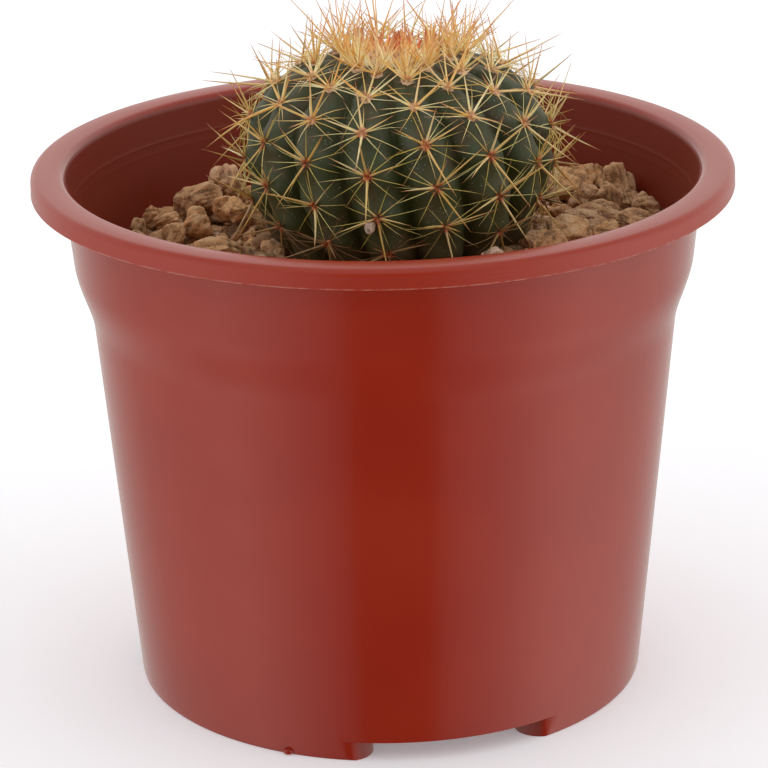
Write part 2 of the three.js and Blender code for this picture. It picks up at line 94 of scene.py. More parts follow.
# Under the pot: three feet, parted by channels that meet in a round hollow. At the top of the
# channels the wall is wider than at the foot by the flare. The drill is the section of a drain hole.
CHANNELS = 3
CHANNEL_DIRECTION = 14 * DEGREE
CHANNEL_DEPTH = 3.6
CHANNEL_HALF_WIDTH = 12.5
FOOT_CORNER = 4.5
FOOT_FLARE = 0.33
HUB_RADIUS = 26
DRAIN_RADIUS = 4
DRAIN_DRILL = ((0, -1), (DRAIN_RADIUS, -1), (DRAIN_RADIUS, 9), (0, 9))
CHANNEL_DRAIN_AT = 35
NIB_DIRECTION = -23.2 * DEGREE
NIB_SIZE = (0.95, 0.75, 0.6)

# The stem: a flattened ball with ribs that lean a little, on a short neck and a tapered root. Its
# upper half is lower and fuller than the lower one.
STEM_X = 2.9
EQUATOR_Z = 93.8
STEM_RADIUS = 26.0
HEIGHT_ABOVE = 16.7
ROUNDNESS_ABOVE = 2.47
DEPTH_BELOW = 23.0
ROUNDNESS_BELOW = 2.22
RIBS = 15
FIRST_RIB = -58.6 * DEGREE
RIB_TWIST = -0.49 * DEGREE
FURROW_DEPTH = 3.2
FURROW_SHARPNESS = 2.1
NECK = (5.0, 66.5)
ROOT_TIP = (1.5, 46.0)
LOWEST_SLOPE = -66 * DEGREE
HIGHEST_SLOPE = 77 * DEGREE
COLUMNS_A_RIB = 24
ROOT_RINGS = 8
SKIN_RINGS = 132
DISH_SHARES = np.array([0.85, 0.65, 0.4, 0.2])

# Spine cushions stand on the ribs in slanting rows, a step apart along each rib. Within reach of
# one the crest swells and is sharper, and it has a waist between two.
CUSHION_STEP = 7.05
CUSHION_FIRST = 6.26
CUSHION_WAVE = 1.6
CUSHION_WAVE_CREST = 8.5 * DEGREE
CUSHION_LOWEST_Z = 82.4
CUSHION_SIZE = 1.15
CUSHION_SHAPE = np.array([1.0, 1.1, 0.55])
CUSHION_REACH = 1.9
CREST_SWELL = 0.7
CREST_WAIST = 0.25
CREST_SHARPENING = 1.1
CUSHION_HAIRS = 48
SHORTEST_SPINE = 2.5
LENGTH_SPREAD = 0.12
FOOT_REACH = 0.35
SPINE_TOP_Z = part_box("crown")[1].z / MM
SPINE_FLOOR_Z = 79.6

# The crown: a woolly pad at the top with a tuft of young spines.
CROWN_RADIUS = 7.4
CROWN_DIP = 1.2
CROWN_DOME = 0.9
CROWN_SINK = 0.2
CROWN_MARGIN = 1.2
CROWN_HAIRS = 900
NEAR_CROWN = (9, 20)
LONGER_NEAR_CROWN = 0.15
TUFT_BUNDLES = 24
TUFT_SPINES_A_BUNDLE = 11
TUFT_RADIUS = 9.2
TUFT_LEAN = 15 * DEGREE
GOLDEN_SHARE = 0.381966

# The filling lies higher on the right, and is heaped up at the stem.
GRAVEL_LEVEL = 76.2
GRAVEL_RISE = 0.04
GRAVEL_MOUND = 1.6
GRAVEL_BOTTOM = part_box("gravel")[0].z / MM
BED_BELOW = 2.6
BED_RADIUS = 51.2
BED_FOOT = 48.4
BED_HOLE = 14.0
STONE_GAP = 0.15


def tone(red, green, blue):
    """A colour given as on a screen, 0 to 255, in the linear light that shaders use."""
    share = np.array([red, green, blue]) / 255
    linear = np.where(share <= 0.04045, share / 12.92, ((share + 0.055) / 1.055) ** 2.4)
    return (*map(float, linear), 1.0)


def smooth(low, high, value):
    """0 below low, 1 above high, and an S between them."""
    part = np.clip((np.asarray(value, float) - low) / (high - low), 0, 1)
    return part * part * (3 - 2 * part)


def around_axis(radius, z, direction, centre_x=0.0):
    """Points at a radius and a height, in a direction round the upright line through centre_x."""
    radius, z, direction = np.broadcast_arrays(radius, z, direction)
    x = centre_x + radius * np.sin(direction)
    return np.stack([x, -radius * np.cos(direction), z], -1).astype(float)


def unit(vectors):
    """The same directions, each with a length of 1."""
    return vectors / np.linalg.norm(vectors, axis=-1, keepdims=True)


def arc(radius, z, size, first, last, steps):
    """Profile points on a round corner about (radius, z), from one angle to another in degrees."""
    angles = np.radians(np.linspace(first, last, steps + 1))
    return np.stack([radius + size * np.cos(angles), z + size * np.sin(angles)], -1)


def grid_faces(rows, columns):
    """Four-cornered faces between the rows of a grid whose last column joins its first."""
    row, column = np.meshgrid(np.arange(rows - 1), np.arange(columns), indexing="ij")
    here = row * columns + column
    beside = row * columns + (column + 1) % columns
    return np.stack([here, beside, beside + columns, here + columns], -1).reshape(-1, 4)


def cap_faces(pole, ring, columns, upper):
    """Triangles that close a ring of points at a pole, above or below it."""
    here = ring + np.arange(columns)
    beside = ring + (np.arange(columns) + 1) % columns
    pole = np.full(columns, pole)
    order = [here, beside, pole] if upper else [pole, beside, here]
    return np.stack(order, -1)


def closed_tube(rings, low_pole, high_pole):
    """Points and faces of rings of points, the lowest first, closed by a pole at each end."""
    rows, columns = rings.shape[:2]
    points = np.concatenate([rings.reshape(-1, 3), [low_pole, high_pole]])
    count = rows * columns
    faces = [
        grid_faces(rows, columns),
        cap_faces(count, 0, columns, False),
        cap_faces(count + 1, count - columns, columns, True),
    ]
    return points, faces


def turned(profile, columns):
    """A body of revolution: each profile point (radius, z) becomes a ring, the ends on the axis."""
    profile = np.asarray(profile, float)
    directions = np.arange(columns) * TURN / columns
    rings = around_axis(profile[1:-1, :1], profile[1:-1, 1:], directions[None, :])
    return closed_tube(rings, *around_axis(0.0, profile[[0, -1], 1], 0.0))


def prism(outline, low, high):
    """An upright prism on a plan outline that runs against the clock."""
    count = len(outline)
    flat = np.concatenate([outline, outline])
    heights = np.repeat([low, high], count)
    side = grid_faces(2, count)
    bottom = np.arange(count)[::-1][None, :]
    return np.column_stack([flat, heights]), [side, bottom, count + np.arange(count)[None, :]]


def keep_value(mesh, name, numbers):
    """Keeps a number for each point of a mesh, as an attribute of this name."""
    attribute = mesh.attributes.new(name, "FLOAT", "POINT")
    attribute.data.foreach_set("value", np.asarray(numbers, np.float32))


def make_mesh(name, points, faces, **values):
    """An object whose mesh has these points, in millimetres, and these arrays of faces. Each
    further value is an array with one number a point, kept as an attribute of that name."""
    corners = np.concatenate([group.ravel() for group in faces]).astype(np.int32)
    counts = np.concatenate([np.full(len(group), group.shape[1]) for group in faces])
    mesh = bpy.data.meshes.new(name)
    mesh.vertices.add(len(points))
    mesh.vertices.foreach_set("co", (np.asarray(points) * MM).astype(np.float32).ravel())
    mesh.loops.add(len(corners))
    mesh.loops.foreach_set("vertex_index", corners)
    mesh.polygons.add(len(counts))
    mesh.polygons.foreach_set("loop_start", (np.cumsum(counts) - counts).astype(np.int32))
    mesh.update(calc_edges=True)
    for key, numbers in values.items():
        keep_value(mesh, key, numbers)
    mesh.shade_smooth()
    piece = bpy.data.objects.new(name, mesh)
    bpy.context.scene.collection.objects.link(piece)
    return piece


def combine(body, tool, operation):
    """Cuts one body with another, or joins them, and leaves only the result."""
    modifier = body.modifiers.new(operation, "BOOLEAN")
    modifier.operation = operation
    modifier.solver = "MANIFOLD"
    modifier.object = tool
    graph = bpy.context.evaluated_depsgraph_get()
    result = bpy.data.meshes.new_from_object(body.evaluated_get(graph))
    body.modifiers.clear()
    body.data = result
    bpy.data.objects.remove(tool)
    return body


def dress(piece, material, slot, *nodes):
    """Gives a piece its material and its place on the part, and hides the solids that it stands for.
    """
    piece.data.materials.clear()
    piece.data.materials.append(material)
    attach(piece, "root")
    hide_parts(*nodes)
    return piece


class Signal:
    """A number that flows through a material's nodes. Its operators add Math nodes."""

    def __init__(self, paint, socket):
        self.paint = paint
        self.socket = socket

    def math(self, operation, *others):
        """A Math node with this signal and up to two other numbers or signals."""
        inputs = dict(enumerate([self, *others]))
        return self.paint.node("ShaderNodeMath", {"operation": operation}, inputs)

    def __add__(self, other):
        return self.math("ADD", other)

    __radd__ = __add__

    def __mul__(self, other):
        return self.math("MULTIPLY", other)

    __rmul__ = __mul__

    def __sub__(self, other):
        return self.math("SUBTRACT", other)

    def __rsub__(self, other):
        return (self * -1) + other

    def __truediv__(self, other):
        return self.math("DIVIDE", other)

    def smooth(self, low, high):
        """0 below low, 1 above high, and an S between them."""
        settings = {"interpolation_type": "SMOOTHSTEP"}
        return self.paint.node("ShaderNodeMapRange", settings, {0: self, 1: low, 2: high})


class Paint:
    """The nodes of a material or of the surroundings."""

    def __init__(self, owner):
        self.owner = owner
        owner.use_nodes = True
        self.tree = owner.node_tree
        self.tree.nodes.clear()

    def node(self, kind, settings=None, inputs=None, output=0):
        """Adds a node: its settings first, then its inputs, each a value or a signal."""
        added = self.tree.nodes.new(kind)
        for key, value in (settings or {}).items():
            if key == "stops":
                self.set_stops(added.color_ramp, value)
            else:
                setattr(added, key, value)
        for key, value in (inputs or {}).items():
            if isinstance(value, Signal):
                self.tree.links.new(value.socket, added.inputs[key])
            else:
                added.inputs[key].default_value = value
        return Signal(self, added.outputs[output]) if added.outputs else None

    @staticmethod
    def set_stops(ramp, stops):
        """Colour stops of a ramp, each a place from 0 to 1 and a colour."""
        while len(ramp.elements) < len(stops):
            ramp.elements.new(0.5)
        for element, (place, colour) in zip(ramp.elements, stops):
            element.position = place
            element.color = colour

    def place(self):
        """Where a point of the surface lies, in metres from the origin."""
        return self.node("ShaderNodeTexCoord", output="Object")

    def part(self, vector, axis):
        """One of the three numbers of a place."""
        return self.node("ShaderNodeSeparateXYZ", inputs={0: vector}, output=axis)

    def length(self, vector):
        """How far a place is from the origin."""
        return self.node("ShaderNodeVectorMath", {"operation": "LENGTH"}, {0: vector}, "Value")

    def stretched(self, vector, factors):
        """A place with its three numbers multiplied each by its own factor."""
        return self.node("ShaderNodeVectorMath", {"operation": "MULTIPLY"}, {0: vector, 1: factors})

    def attribute(self, name):
        """A number that the mesh keeps for each of its points."""
        return self.node("ShaderNodeAttribute", {"attribute_name": name}, output="Fac")

    def noise(self, vector, size, detail=3.0, roughness=0.55):
        """Cloudy noise from 0 to 1, whose clouds are about size millimetres wide."""
        values = {"Vector": vector, "Scale": 1 / (size * MM), "Detail": detail}
        return self.node("ShaderNodeTexNoise", inputs={**values, "Roughness": roughness})

    def cells(self, vector, size):
        """The distance to the nearest of scattered points about size millimetres apart."""
        inputs = {"Vector": vector, "Scale": 1 / (size * MM)}
        return self.node("ShaderNodeTexVoronoi", inputs=inputs, output="Distance")

    def mix(self, amount, first, second):
        """A colour between two others."""
        settings = {"data_type": "RGBA", "clamp_factor": True}
        return self.node("ShaderNodeMix", settings, {0: amount, 6: first, 7: second}, output=2)

    def ramp(self, amount, *stops):
        """A colour from a row of stops, each a place from 0 to 1 and a colour."""
        return self.node("ShaderNodeValToRGB", {"stops": stops}, {0: amount})

    def bump(self, height, depth, strength=1.0):
        """A bumped surface, from a height of 0 to 1 that stands for depth millimetres."""
        inputs = {"Height": height, "Distance": depth * MM, "Strength": strength}
        return self.node("ShaderNodeBump", inputs=inputs)

    def surface(self, inputs):
        """The one shader of the material, linked to its output."""
        shader = self.node("ShaderNodeBsdfPrincipled", inputs=inputs)
        self.node("ShaderNodeOutputMaterial", inputs={0: shader})
        return self.owner


def new_paint(name):
    """An empty material of this name."""
    return Paint(bpy.data.materials.new(name))


def pot_plastic():
    """Glossy moulded plastic: faint turned marks and clouds, and a thin pale mould line with nicks
    under the flange. The inside is duller and has short pale scratches and a pale ridge. The flange
    is painted a little lighter than the wall, as painted light that stands for light let through
    its thin plastic."""
    paint = new_paint("pot_plastic")
    place = paint.place()
    height = paint.part(place, "Z") / MM
    across = paint.length(paint.stretched(place, (1, 1, 0))) / MM
    inside = paint.attribute("inside")
    clouds = paint.noise(place, 26, 2)
    turned_marks = paint.noise(paint.stretched(place, (0.05, 0.05, 1)), 1.1, 3)
    streaks = paint.noise(paint.stretched(place, (1, 1, 0.1)), 1.2, 3, 0.7)
    scratches = streaks.smooth(0.68, 0.8) * inside
    ridge = inside * (1 - (height - INNER_RIDGES[1][0]).math("ABSOLUTE").smooth(0.05, 0.22))

    skirt_edge = POT_HEIGHT - SKIRT_DROP
    outermost = across.smooth(FLANGE_RADIUS - 0.4, FLANGE_RADIUS - 0.08)
    from_edge = height.smooth(skirt_edge - 0.4, skirt_edge - 0.2)
    past_line = height.smooth(skirt_edge + 0.1, skirt_edge + 0.3)
    nicks = paint.noise(paint.stretched(place, (1, 1, 0.2)), 1.5, 4, 0.7).smooth(0.35, 0.6)
    mould_line = outermost * (1 - past_line) * from_edge * nicks
    over_edge = height.smooth(skirt_edge - 0.4, skirt_edge)
    flange = across.smooth(COLLAR_RADIUS, COLLAR_RADIUS + 1) * over_edge

    wall = paint.mix(clouds.smooth(0.3, 0.7), tone(146, 33, 12), tone(152, 38, 15))
    # Painted light: the flange and skirt are a little lighter than the wall, for light let through
    # the thin plastic there.
    lit = paint.mix(flange, wall, tone(155, 40, 18))
    dusty = paint.mix(inside * (1 - flange), lit, tone(130, 40, 20))
    pale = scratches * 0.25 + mould_line * 0.45 + ridge * 0.08
    gloss_loss = clouds * 0.05 + turned_marks * 0.04 + scratches * 0.2 + inside * 0.28 + flange * 0.11
    return paint.surface({
        "Base Color": paint.mix(pale, dusty, tone(214, 158, 140)),
        "Roughness": 0.13 + gloss_loss,
        "IOR": 1.47,
        "Normal": paint.bump(turned_marks * 0.25 + clouds * 0.9, 0.04, 0.5),
    })


def potting_mix():
    """Loose dark mix: brown crumbs of several sizes with a few pale ones."""
    paint = new_paint("potting_mix")
    place = paint.place()
    crumbs = paint.cells(place, 1.6)
    dust = paint.noise(place, 0.7, 4)
    dark, brown, pale = tone(38, 26, 18), tone(74, 52, 36), tone(122, 96, 70)
    return paint.surface({
        "Base Color": paint.ramp(dust * 0.7 + crumbs * 0.4, (0.2, dark), (0.6, brown), (0.9, pale)),
        "Roughness": 0.95,
        "Normal": paint.bump(dust + crumbs, 0.5),
    })


def gravel_stone():
    """Crumbling weathered stone: each has its own tan, orange or pinkish tone, clouded with stain and
    grainy all over, with painted shade in its hollows and a painted highlight on its raised edges."""
    paint = new_paint("gravel_stone")
    place = paint.place()
    own = paint.attribute("stone_tone")
    raised = paint.attribute("raised")
    clouds = paint.noise(place, 2.6, 4, 0.6)
    grains = paint.noise(place, 0.42, 3, 0.7)
    base = paint.ramp(
        own,
        (0.0, tone(186, 147, 113)),
        (0.22, tone(216, 167, 125)),
        (0.45, tone(234, 178, 126)),
        (0.65, tone(250, 190, 127)),
        (0.85, tone(227, 180, 152)),
        (1.0, tone(255, 240, 228)),
    )
    stained = paint.mix(clouds.smooth(0.48, 0.7) * 0.6, base, tone(150, 94, 56))
    # Painted shade: where the raised value is low, in the hollows, the stone is darkened.
    shaded_hollows = paint.mix((1 - raised.smooth(0.1, 0.5)) * 0.6, stained, tone(92, 60, 40))
    # Painted highlight: the most raised edges are lightened.
    highlit_edges = paint.mix(raised.smooth(0.6, 0.95) * 0.5, shaded_hollows, tone(242, 208, 170))
    grainy = paint.mix(grains.smooth(0.5, 0.7) * 0.5, highlit_edges, tone(244, 214, 182))
    spotted = paint.mix((1 - grains.smooth(0.3, 0.44)) * 0.65, grainy, tone(100, 66, 42))
    return paint.surface({
        "Base Color": spotted,
        "Roughness": 0.93,
        "Specular IOR Level": 0.25,
        "Normal": paint.bump(grains * 0.8 + clouds * 0.5, 0.55, 0.9),
    })


def stem_skin():
    """Smooth skin: grey-green on the crests, dark olive in the furrows, darker near the crown, a
    bluish bloom on the flanks, fine pale specks, and brown corky skin low down."""
    paint = new_paint("stem_skin")
    place = paint.place()
    height = paint.part(place, "Z") / MM
    furrow = paint.attribute("furrow")
    clouds = paint.noise(place, 3.5, 3)
    fine = paint.noise(place, 0.6, 3)
    grown = paint.ramp(
        furrow + (clouds - 0.5) * 0.3,
        (0.0, tone(77, 79, 47)),
        (0.35, tone(73, 81, 51)),
        (0.7, tone(58, 65, 30)),
        (0.95, tone(49, 57, 15)),
    )
    skin = paint.mix(height.smooth(92, 103) * 0.6, grown, tone(51, 57, 32))
    bloom = (1 - (furrow - 0.4).math("ABSOLUTE").smooth(0.05, 0.4)) * clouds.smooth(0.42, 0.7)
    bloomed = paint.mix(bloom * 0.4, skin, tone(83, 101, 84))
    tanned = paint.mix(paint.noise(place, 5, 2).smooth(0.48, 0.66) * 0.4, bloomed, tone(94, 74, 58))
    cork = (1 - height.smooth(80, 87)) * clouds.smooth(0.3, 0.6)
    corky = paint.mix(cork * 0.7, tanned, tone(84, 68, 46))
    dots = 1 - paint.cells(place, 0.55).smooth(0.08, 0.22)
    specks = dots * paint.noise(place, 1.7, 3).smooth(0.48, 0.64)
    return paint.surface({
        "Base Color": paint.mix(specks * 0.8, corky, tone(172, 182, 172)),
        "Roughness": 0.46 + fine * 0.14 + specks * 0.3,
        "IOR": 1.4,
        "Normal": paint.bump(fine + clouds * 0.8, 0.12, 0.7),
    })


def spine_horn():
    """Stiff horn: a red-brown foot, a shaft of straw or pale green-yellow, and a red-brown tip. The
    upper half turns to fiery orange towards the middle of the crown. A faint glow stands for the
    light that the young spines let through."""
    paint = new_paint("spine_horn")
    values = ("along", "own", "fire", "stout", "low", "young")
    along, own, fire, stout, low, young = map(paint.attribute, values)
    thin = paint.mix(own, tone(192, 174, 76), tone(230, 212, 142))
    thick = paint.mix(own, tone(206, 166, 80), tone(236, 216, 164))
    fresh = paint.mix(own, tone(244, 190, 96), tone(255, 248, 206))
    shaft = paint.mix(young, paint.mix(stout, thin, thick), fresh)
    aged = paint.mix(low, shaft, tone(120, 88, 54))
    at_foot = (1 - along.smooth(0.02, 0.12)) * (1 - young) * (stout * 0.25 + 0.7)
    footed = paint.mix(at_foot, aged, tone(194, 98, 60))
    fiery = paint.mix(fire * along.smooth(0.15, 0.75), footed, tone(214, 92, 44))
    tipped = paint.mix(along.smooth(0.6, 0.94) * (own * 0.4 + 0.6), fiery, tone(150, 70, 46))
    return paint.surface({
        "Base Color": tipped,
        "Roughness": 0.3,
        "Subsurface Weight": 0.6,
        "Subsurface Radius": (1.0, 0.7, 0.35),
        "Subsurface Scale": 0.4 * MM,
        "Emission Color": paint.mix(young, tone(0, 0, 0), tipped),
        "Emission Strength": 0.15,
    })


def plant_wool():
    """Short felt: cream with a pink tinge when young, tan and dull when old."""
    paint = new_paint("plant_wool")
    place = paint.place()
    old = paint.attribute("low")
    fluff = paint.noise(place, 0.5, 3)
    fresh = paint.mix(fluff.smooth(0.3, 0.7), tone(220, 174, 132), tone(248, 218, 190))
    worn = paint.mix(fluff.smooth(0.35, 0.65), tone(186, 104, 58), tone(236, 170, 116))
    return paint.surface({
        "Base Color": paint.mix(old, fresh, worn),
        "Roughness": 0.95,
        "Sheen Weight": 0.3,
        "Normal": paint.bump(fluff, 0.15),
    })


def pale_floor():
    """A plain pale board with the faintest mottle, lit from below like a light table."""
    paint = new_paint("pale_floor")
    mottle = paint.noise(paint.place(), 60, 2)
    colour = paint.mix(mottle, tone(242, 245, 252), tone(246, 249, 254))
    return paint.surface({
        "Base Color": colour,
        "Roughness": 0.8,
        "Emission Color": colour,
        "Emission Strength": 0.24,
    })


def wall_profile(inset):
    """The outside of the wall up to the collar, pulled in by a distance. The shoulder is a soft S
    mixed with a straight line, so that it meets the wall and the collar at their own slopes."""
    part = np.linspace(0, 1, 15)
    low, high = np.array(SHOULDER_LOW), np.array(SHOULDER_HIGH)
    soft = smooth(0, 1, part) * (1 - SHOULDER_STRAIGHT) + part * SHOULDER_STRAIGHT
    radius = low[0] + (high[0] - low[0]) * soft
    shoulder = np.stack([radius, low[1] + (high[1] - low[1]) * part], -1)
    climb = np.linspace(0.02, 0.98, 16)[:, None]
    straight = np.array([[FOOT_RADIUS, 0.0]]) * (1 - climb) + low * climb
    return np.concatenate([straight, shoulder]) - [inset, 0]


def dome_round(radius, size):
    """The height of a round's middle and the angle in degrees at which it meets the dome of the
    flange, for a round of this size about this radius."""
    angle = math.acos((radius - FLANGE_MIDDLE) / (FLANGE_DOME - size))
    height = POT_HEIGHT - FLANGE_DOME + (FLANGE_DOME - size) * math.sin(angle)
    return height, math.degrees(angle)


def pot_outside():
    """The outside of the pot, filled: foot, wall, and a flange that is a little domed, and whose
    skirt turns down."""
    top, skirt = POT_HEIGHT, POT_HEIGHT - SKIRT_DROP
    under = top - WALL
    inner = FLANGE_RADIUS - WALL
    small = EDGE_ROUNDING
    corner = FLANGE_RADIUS - FLANGE_CORNER + MOULD_LINE[-1][0]
    corner_z, meeting = dome_round(corner, FLANGE_CORNER)
    return turned(np.concatenate([
        [(0, 0)],
        arc(FOOT_RADIUS - small, small, small, -90, 0, 3),
        wall_profile(0),
        arc(COLLAR_RADIUS + COVE_ROUNDING, under - COVE_ROUNDING, COVE_ROUNDING, 180, 90, 3),
        arc(inner - SKIRT_ROUNDING, under - SKIRT_ROUNDING, SKIRT_ROUNDING, 90, 0, 3),
        arc(inner + small, skirt + small, small, 180, 270, 2),
        np.array([FLANGE_RADIUS, skirt]) + MOULD_LINE,
        arc(corner, corner_z, FLANGE_CORNER, 0, meeting - 4, 7),
        arc(FLANGE_MIDDLE, top - FLANGE_DOME, FLANGE_DOME, meeting, 100, 9),
        [(0, top - 0.2)],
    ]), POT_COLUMNS)


def pot_room():
    """The room inside the pot, with two fine ridges round its wall near the mouth. The lip is a
    round that meets the dome of the flange."""
    wall = wall_profile(WALL)
    wall = wall[wall[:, 1] > WALL + 1]
    lip_middle = MOUTH_RADIUS + LIP_ROUNDING
    lip_z, meeting = dome_round(lip_middle, LIP_ROUNDING)
    lip = arc(lip_middle, lip_z, LIP_ROUNDING, 180, meeting + 1, 10)
    step, share = np.transpose(RIDGE_SECTION)
    collar = []
    for middle, rise in INNER_RIDGES:
        z = middle + step
        radius = np.interp(z, [wall[-1, 1], lip[0, 1]], [wall[-1, 0], lip[0, 0]])
        collar.append(np.column_stack([radius - rise * share, z]))
    return turned(np.concatenate([
        [(0, WALL)],
        arc(FOOT_RADIUS - WALL - 1, WALL + 1, 1, -90, 0, 4),
        wall,
        *collar,
        lip,
        [(lip[-1, 0], POT_HEIGHT + 2), (0, POT_HEIGHT + 2)],
    ]), POT_COLUMNS)


def channel_outline(clearance):
    """The plan of a channel along +X: two parallel sides that flare round the feet's corners."""
    half = CHANNEL_HALF_WIDTH + clearance
    corner = FOOT_CORNER - clearance
    across = CHANNEL_HALF_WIDTH + FOOT_CORNER
    along = math.sqrt((FOOT_RADIUS + FOOT_FLARE - FOOT_CORNER) ** 2 - across**2)
    flare = math.atan2(across, along)
    outermost = 2 * FLANGE_RADIUS * np.array([math.cos(flare), math.sin(flare)])
    turn = math.degrees(flare)
    return np.concatenate([
        [(0, -half)],
        arc(along, -across, corner, 90, -turn, 8),
        [outermost * [1, -1], outermost],
        arc(along, across, corner, turn, -90, 8),
        [(0, half)],
    ])


def underside(clearance):
    """The hollow under the floor: a round hub and the channels, grown by a distance. Each channel
    is a hair lower than the one before, so that no two tops share a plane."""
    top = CHANNEL_DEPTH + clearance
    radius = HUB_RADIUS + clearance
    hub = turned([(0, -2), (radius, -2), (radius, top), (0, top)], 96)
    hollow = make_mesh("hollow", *hub)
    outline = channel_outline(clearance)
    for number in range(CHANNELS):
        turn = CHANNEL_DIRECTION + number * TURN / CHANNELS - math.pi / 2
        spin = np.array([[math.cos(turn), math.sin(turn)], [-math.sin(turn), math.cos(turn)]])
        channel = make_mesh("channel", *prism(outline @ spin, -2, top - 0.01 * (number + 1)))
        combine(hollow, channel, "UNION")
    return hollow


def drain_places():
    """Where the drain holes are: one in the middle of the floor, and one in each channel."""
    directions = CHANNEL_DIRECTION + np.arange(CHANNELS) * TURN / CHANNELS
    return [np.zeros(3), *around_axis(CHANNEL_DRAIN_AT, 0, directions)]


def make_nib():
    """The nib that the mould leaves at the foot's edge: a flattened ball that touches the ground."""
    points, faces = ball(3)
    middle = around_axis(FOOT_RADIUS + 0.1, NIB_SIZE[2], NIB_DIRECTION)
    return make_mesh("nib", middle + points * NIB_SIZE, [faces])


def mark_inside(mesh):
    """Keeps an attribute named inside: 1 for the points within the middle of the wall, else 0."""
    points = np.empty(len(mesh.vertices) * 3)
    mesh.vertices.foreach_get("co", points)
    x, y, z = points.reshape(-1, 3).T / MM
    collar = (COLLAR_RADIUS - 0.4, POT_HEIGHT - WALL)
    middle = np.concatenate([wall_profile(INSIDE_DEPTH), [collar]])
    keep_value(mesh, "inside", np.hypot(x, y) < np.interp(z, middle[:, 1], middle[:, 0]))


def make_pot():
    """The shell: the filled outside, less the hollow under the floor, the room and the drains,
    with the nib joined on."""
    pot = make_mesh("pot_shell", *pot_outside())
    room = combine(make_mesh("room", *pot_room()), underside(WALL), "DIFFERENCE")
    combine(pot, underside(0), "DIFFERENCE")
    combine(pot, room, "DIFFERENCE")
    points, faces = turned(DRAIN_DRILL, 32)
    for place in drain_places():
        combine(pot, make_mesh("drain", points + place, faces), "DIFFERENCE")
    combine(pot, make_nib(), "UNION")
    mark_inside(pot.data)
    pot.data.shade_smooth()
    pot.data.set_sharp_from_angle(angle=SHARP_ANGLE)
    return pot


def crest(slope):
    """Radius and height of a rib's crest, at a slope angle from the equator. The radius and the
    height over their greatest values, each raised to the roundness of that half, add up to 1."""
    reach = np.where(slope > 0, HEIGHT_ABOVE, DEPTH_BELOW)
    power = 2 / np.where(slope > 0, ROUNDNESS_ABOVE, ROUNDNESS_BELOW)
    radius = STEM_RADIUS * np.cos(slope) ** power
    height = np.sign(slope) * reach * np.abs(np.sin(slope)) ** power
    return radius, EQUATOR_Z + height


def crest_table():
    """Slope angles, and the length along the crest from the equator to each."""
    slopes = np.linspace(-80 * DEGREE, 89 * DEGREE, 3000)
    radius, z = crest(slopes)
    steps = np.hypot(np.diff(radius), np.diff(z))
    lengths = np.concatenate([[0], np.cumsum(steps)])
    return slopes, lengths - np.interp(0, slopes, lengths)


SLOPES, LENGTHS = crest_table()


def first_cushion(rib):
    """Length along the crest from the equator to a rib's first cushion. It falls by a third of a
    step from rib to rib, in two low waves round the stem."""
    direction = FIRST_RIB + rib * TURN / RIBS
    wave = CUSHION_WAVE * np.cos(2 * (direction - CUSHION_WAVE_CREST))
    return np.fmod(CUSHION_FIRST - rib * CUSHION_STEP / 3 + wave, CUSHION_STEP)


def rib_direction(rib, z):
    """The direction of a rib at a height. The ribs lean, each by the same angle a millimetre."""
    return FIRST_RIB + rib * TURN / RIBS + RIB_TWIST * (z - EQUATOR_Z)


def root_rings(rib, phase):
    """Rings of the tapered root, which reaches up to the neck."""
    z = np.linspace(ROOT_TIP[1], NECK[1], ROOT_RINGS)[:, None]
    radius = np.interp(z, [ROOT_TIP[1], NECK[1]], [ROOT_TIP[0], NECK[0]])
    return around_axis(radius, z, rib_direction(rib + phase, z), STEM_X)


def skin_rings(rib, phase):
    """Rings of the ribbed skin. A point lies inside the crest by the furrow depth times the
    distance to the crest, as a share of half a rib, to the power of the sharpness. The crest is
    sharper and swells near each cushion, by a bell curve of the distance, and is lower between."""
    slopes = np.linspace(LOWEST_SLOPE, HIGHEST_SLOPE, SKIN_RINGS)[:, None]
    radius, z = crest(slopes)
    along = np.interp(slopes, SLOPES, LENGTHS)
    off = np.mod(along - first_cushion(rib) + CUSHION_STEP / 2, CUSHION_STEP) - CUSHION_STEP / 2
    near = np.exp(-((off / CUSHION_REACH) ** 2))
    edge = np.abs(2 * phase)
    full = smooth(NECK[0], 0.6 * STEM_RADIUS, radius)
    hollow = FURROW_DEPTH * full * edge ** (FURROW_SHARPNESS + CREST_SHARPENING * near)
    swell = full * (CREST_SWELL * near - CREST_WAIST) * (1 - edge**2) ** 2
    return around_axis(radius - hollow + swell, z, rib_direction(rib + phase, z), STEM_X)


def dish_rings(rim):
    """Rings that close the top within the last ring of skin. They sink by the crown's dip times 1
    minus the square of their share of its width."""
    centre = np.array([STEM_X, 0, 0])
    share = DISH_SHARES[:, None, None]
    dish = centre + (rim - centre) * [1, 1, 0] * share
    dish[..., 2] = rim[:, 2] - CROWN_DIP * (1 - share[..., 0] ** 2)
    return dish


def make_stem():
    """The root, the ribbed skin and the dish under the crown, in one closed tube. The value furrow
    is 0 on a crest and 1 in a furrow."""
    rib = np.repeat(np.arange(RIBS), COLUMNS_A_RIB)[None, :]
    phase = np.tile(np.linspace(-0.5, 0.5, COLUMNS_A_RIB + 1)[:-1], RIBS)[None, :]
    root, skin = root_rings(rib, phase), skin_rings(rib, phase)
    dish = dish_rings(skin[-1])
    low = around_axis(0.0, ROOT_TIP[1] - 1, 0.0, STEM_X)
    high = around_axis(0.0, dish[-1, :, 2].mean() - 0.02, 0.0, STEM_X)
    points, faces = closed_tube(np.concatenate([root, skin, dish]), low, high)
    ribbed = np.tile(np.abs(2 * phase[0]), len(root) + len(skin))
    furrow = np.concatenate([ribbed, np.zeros(len(points) - len(ribbed))])
    return make_mesh("stem", points, faces, furrow=furrow)


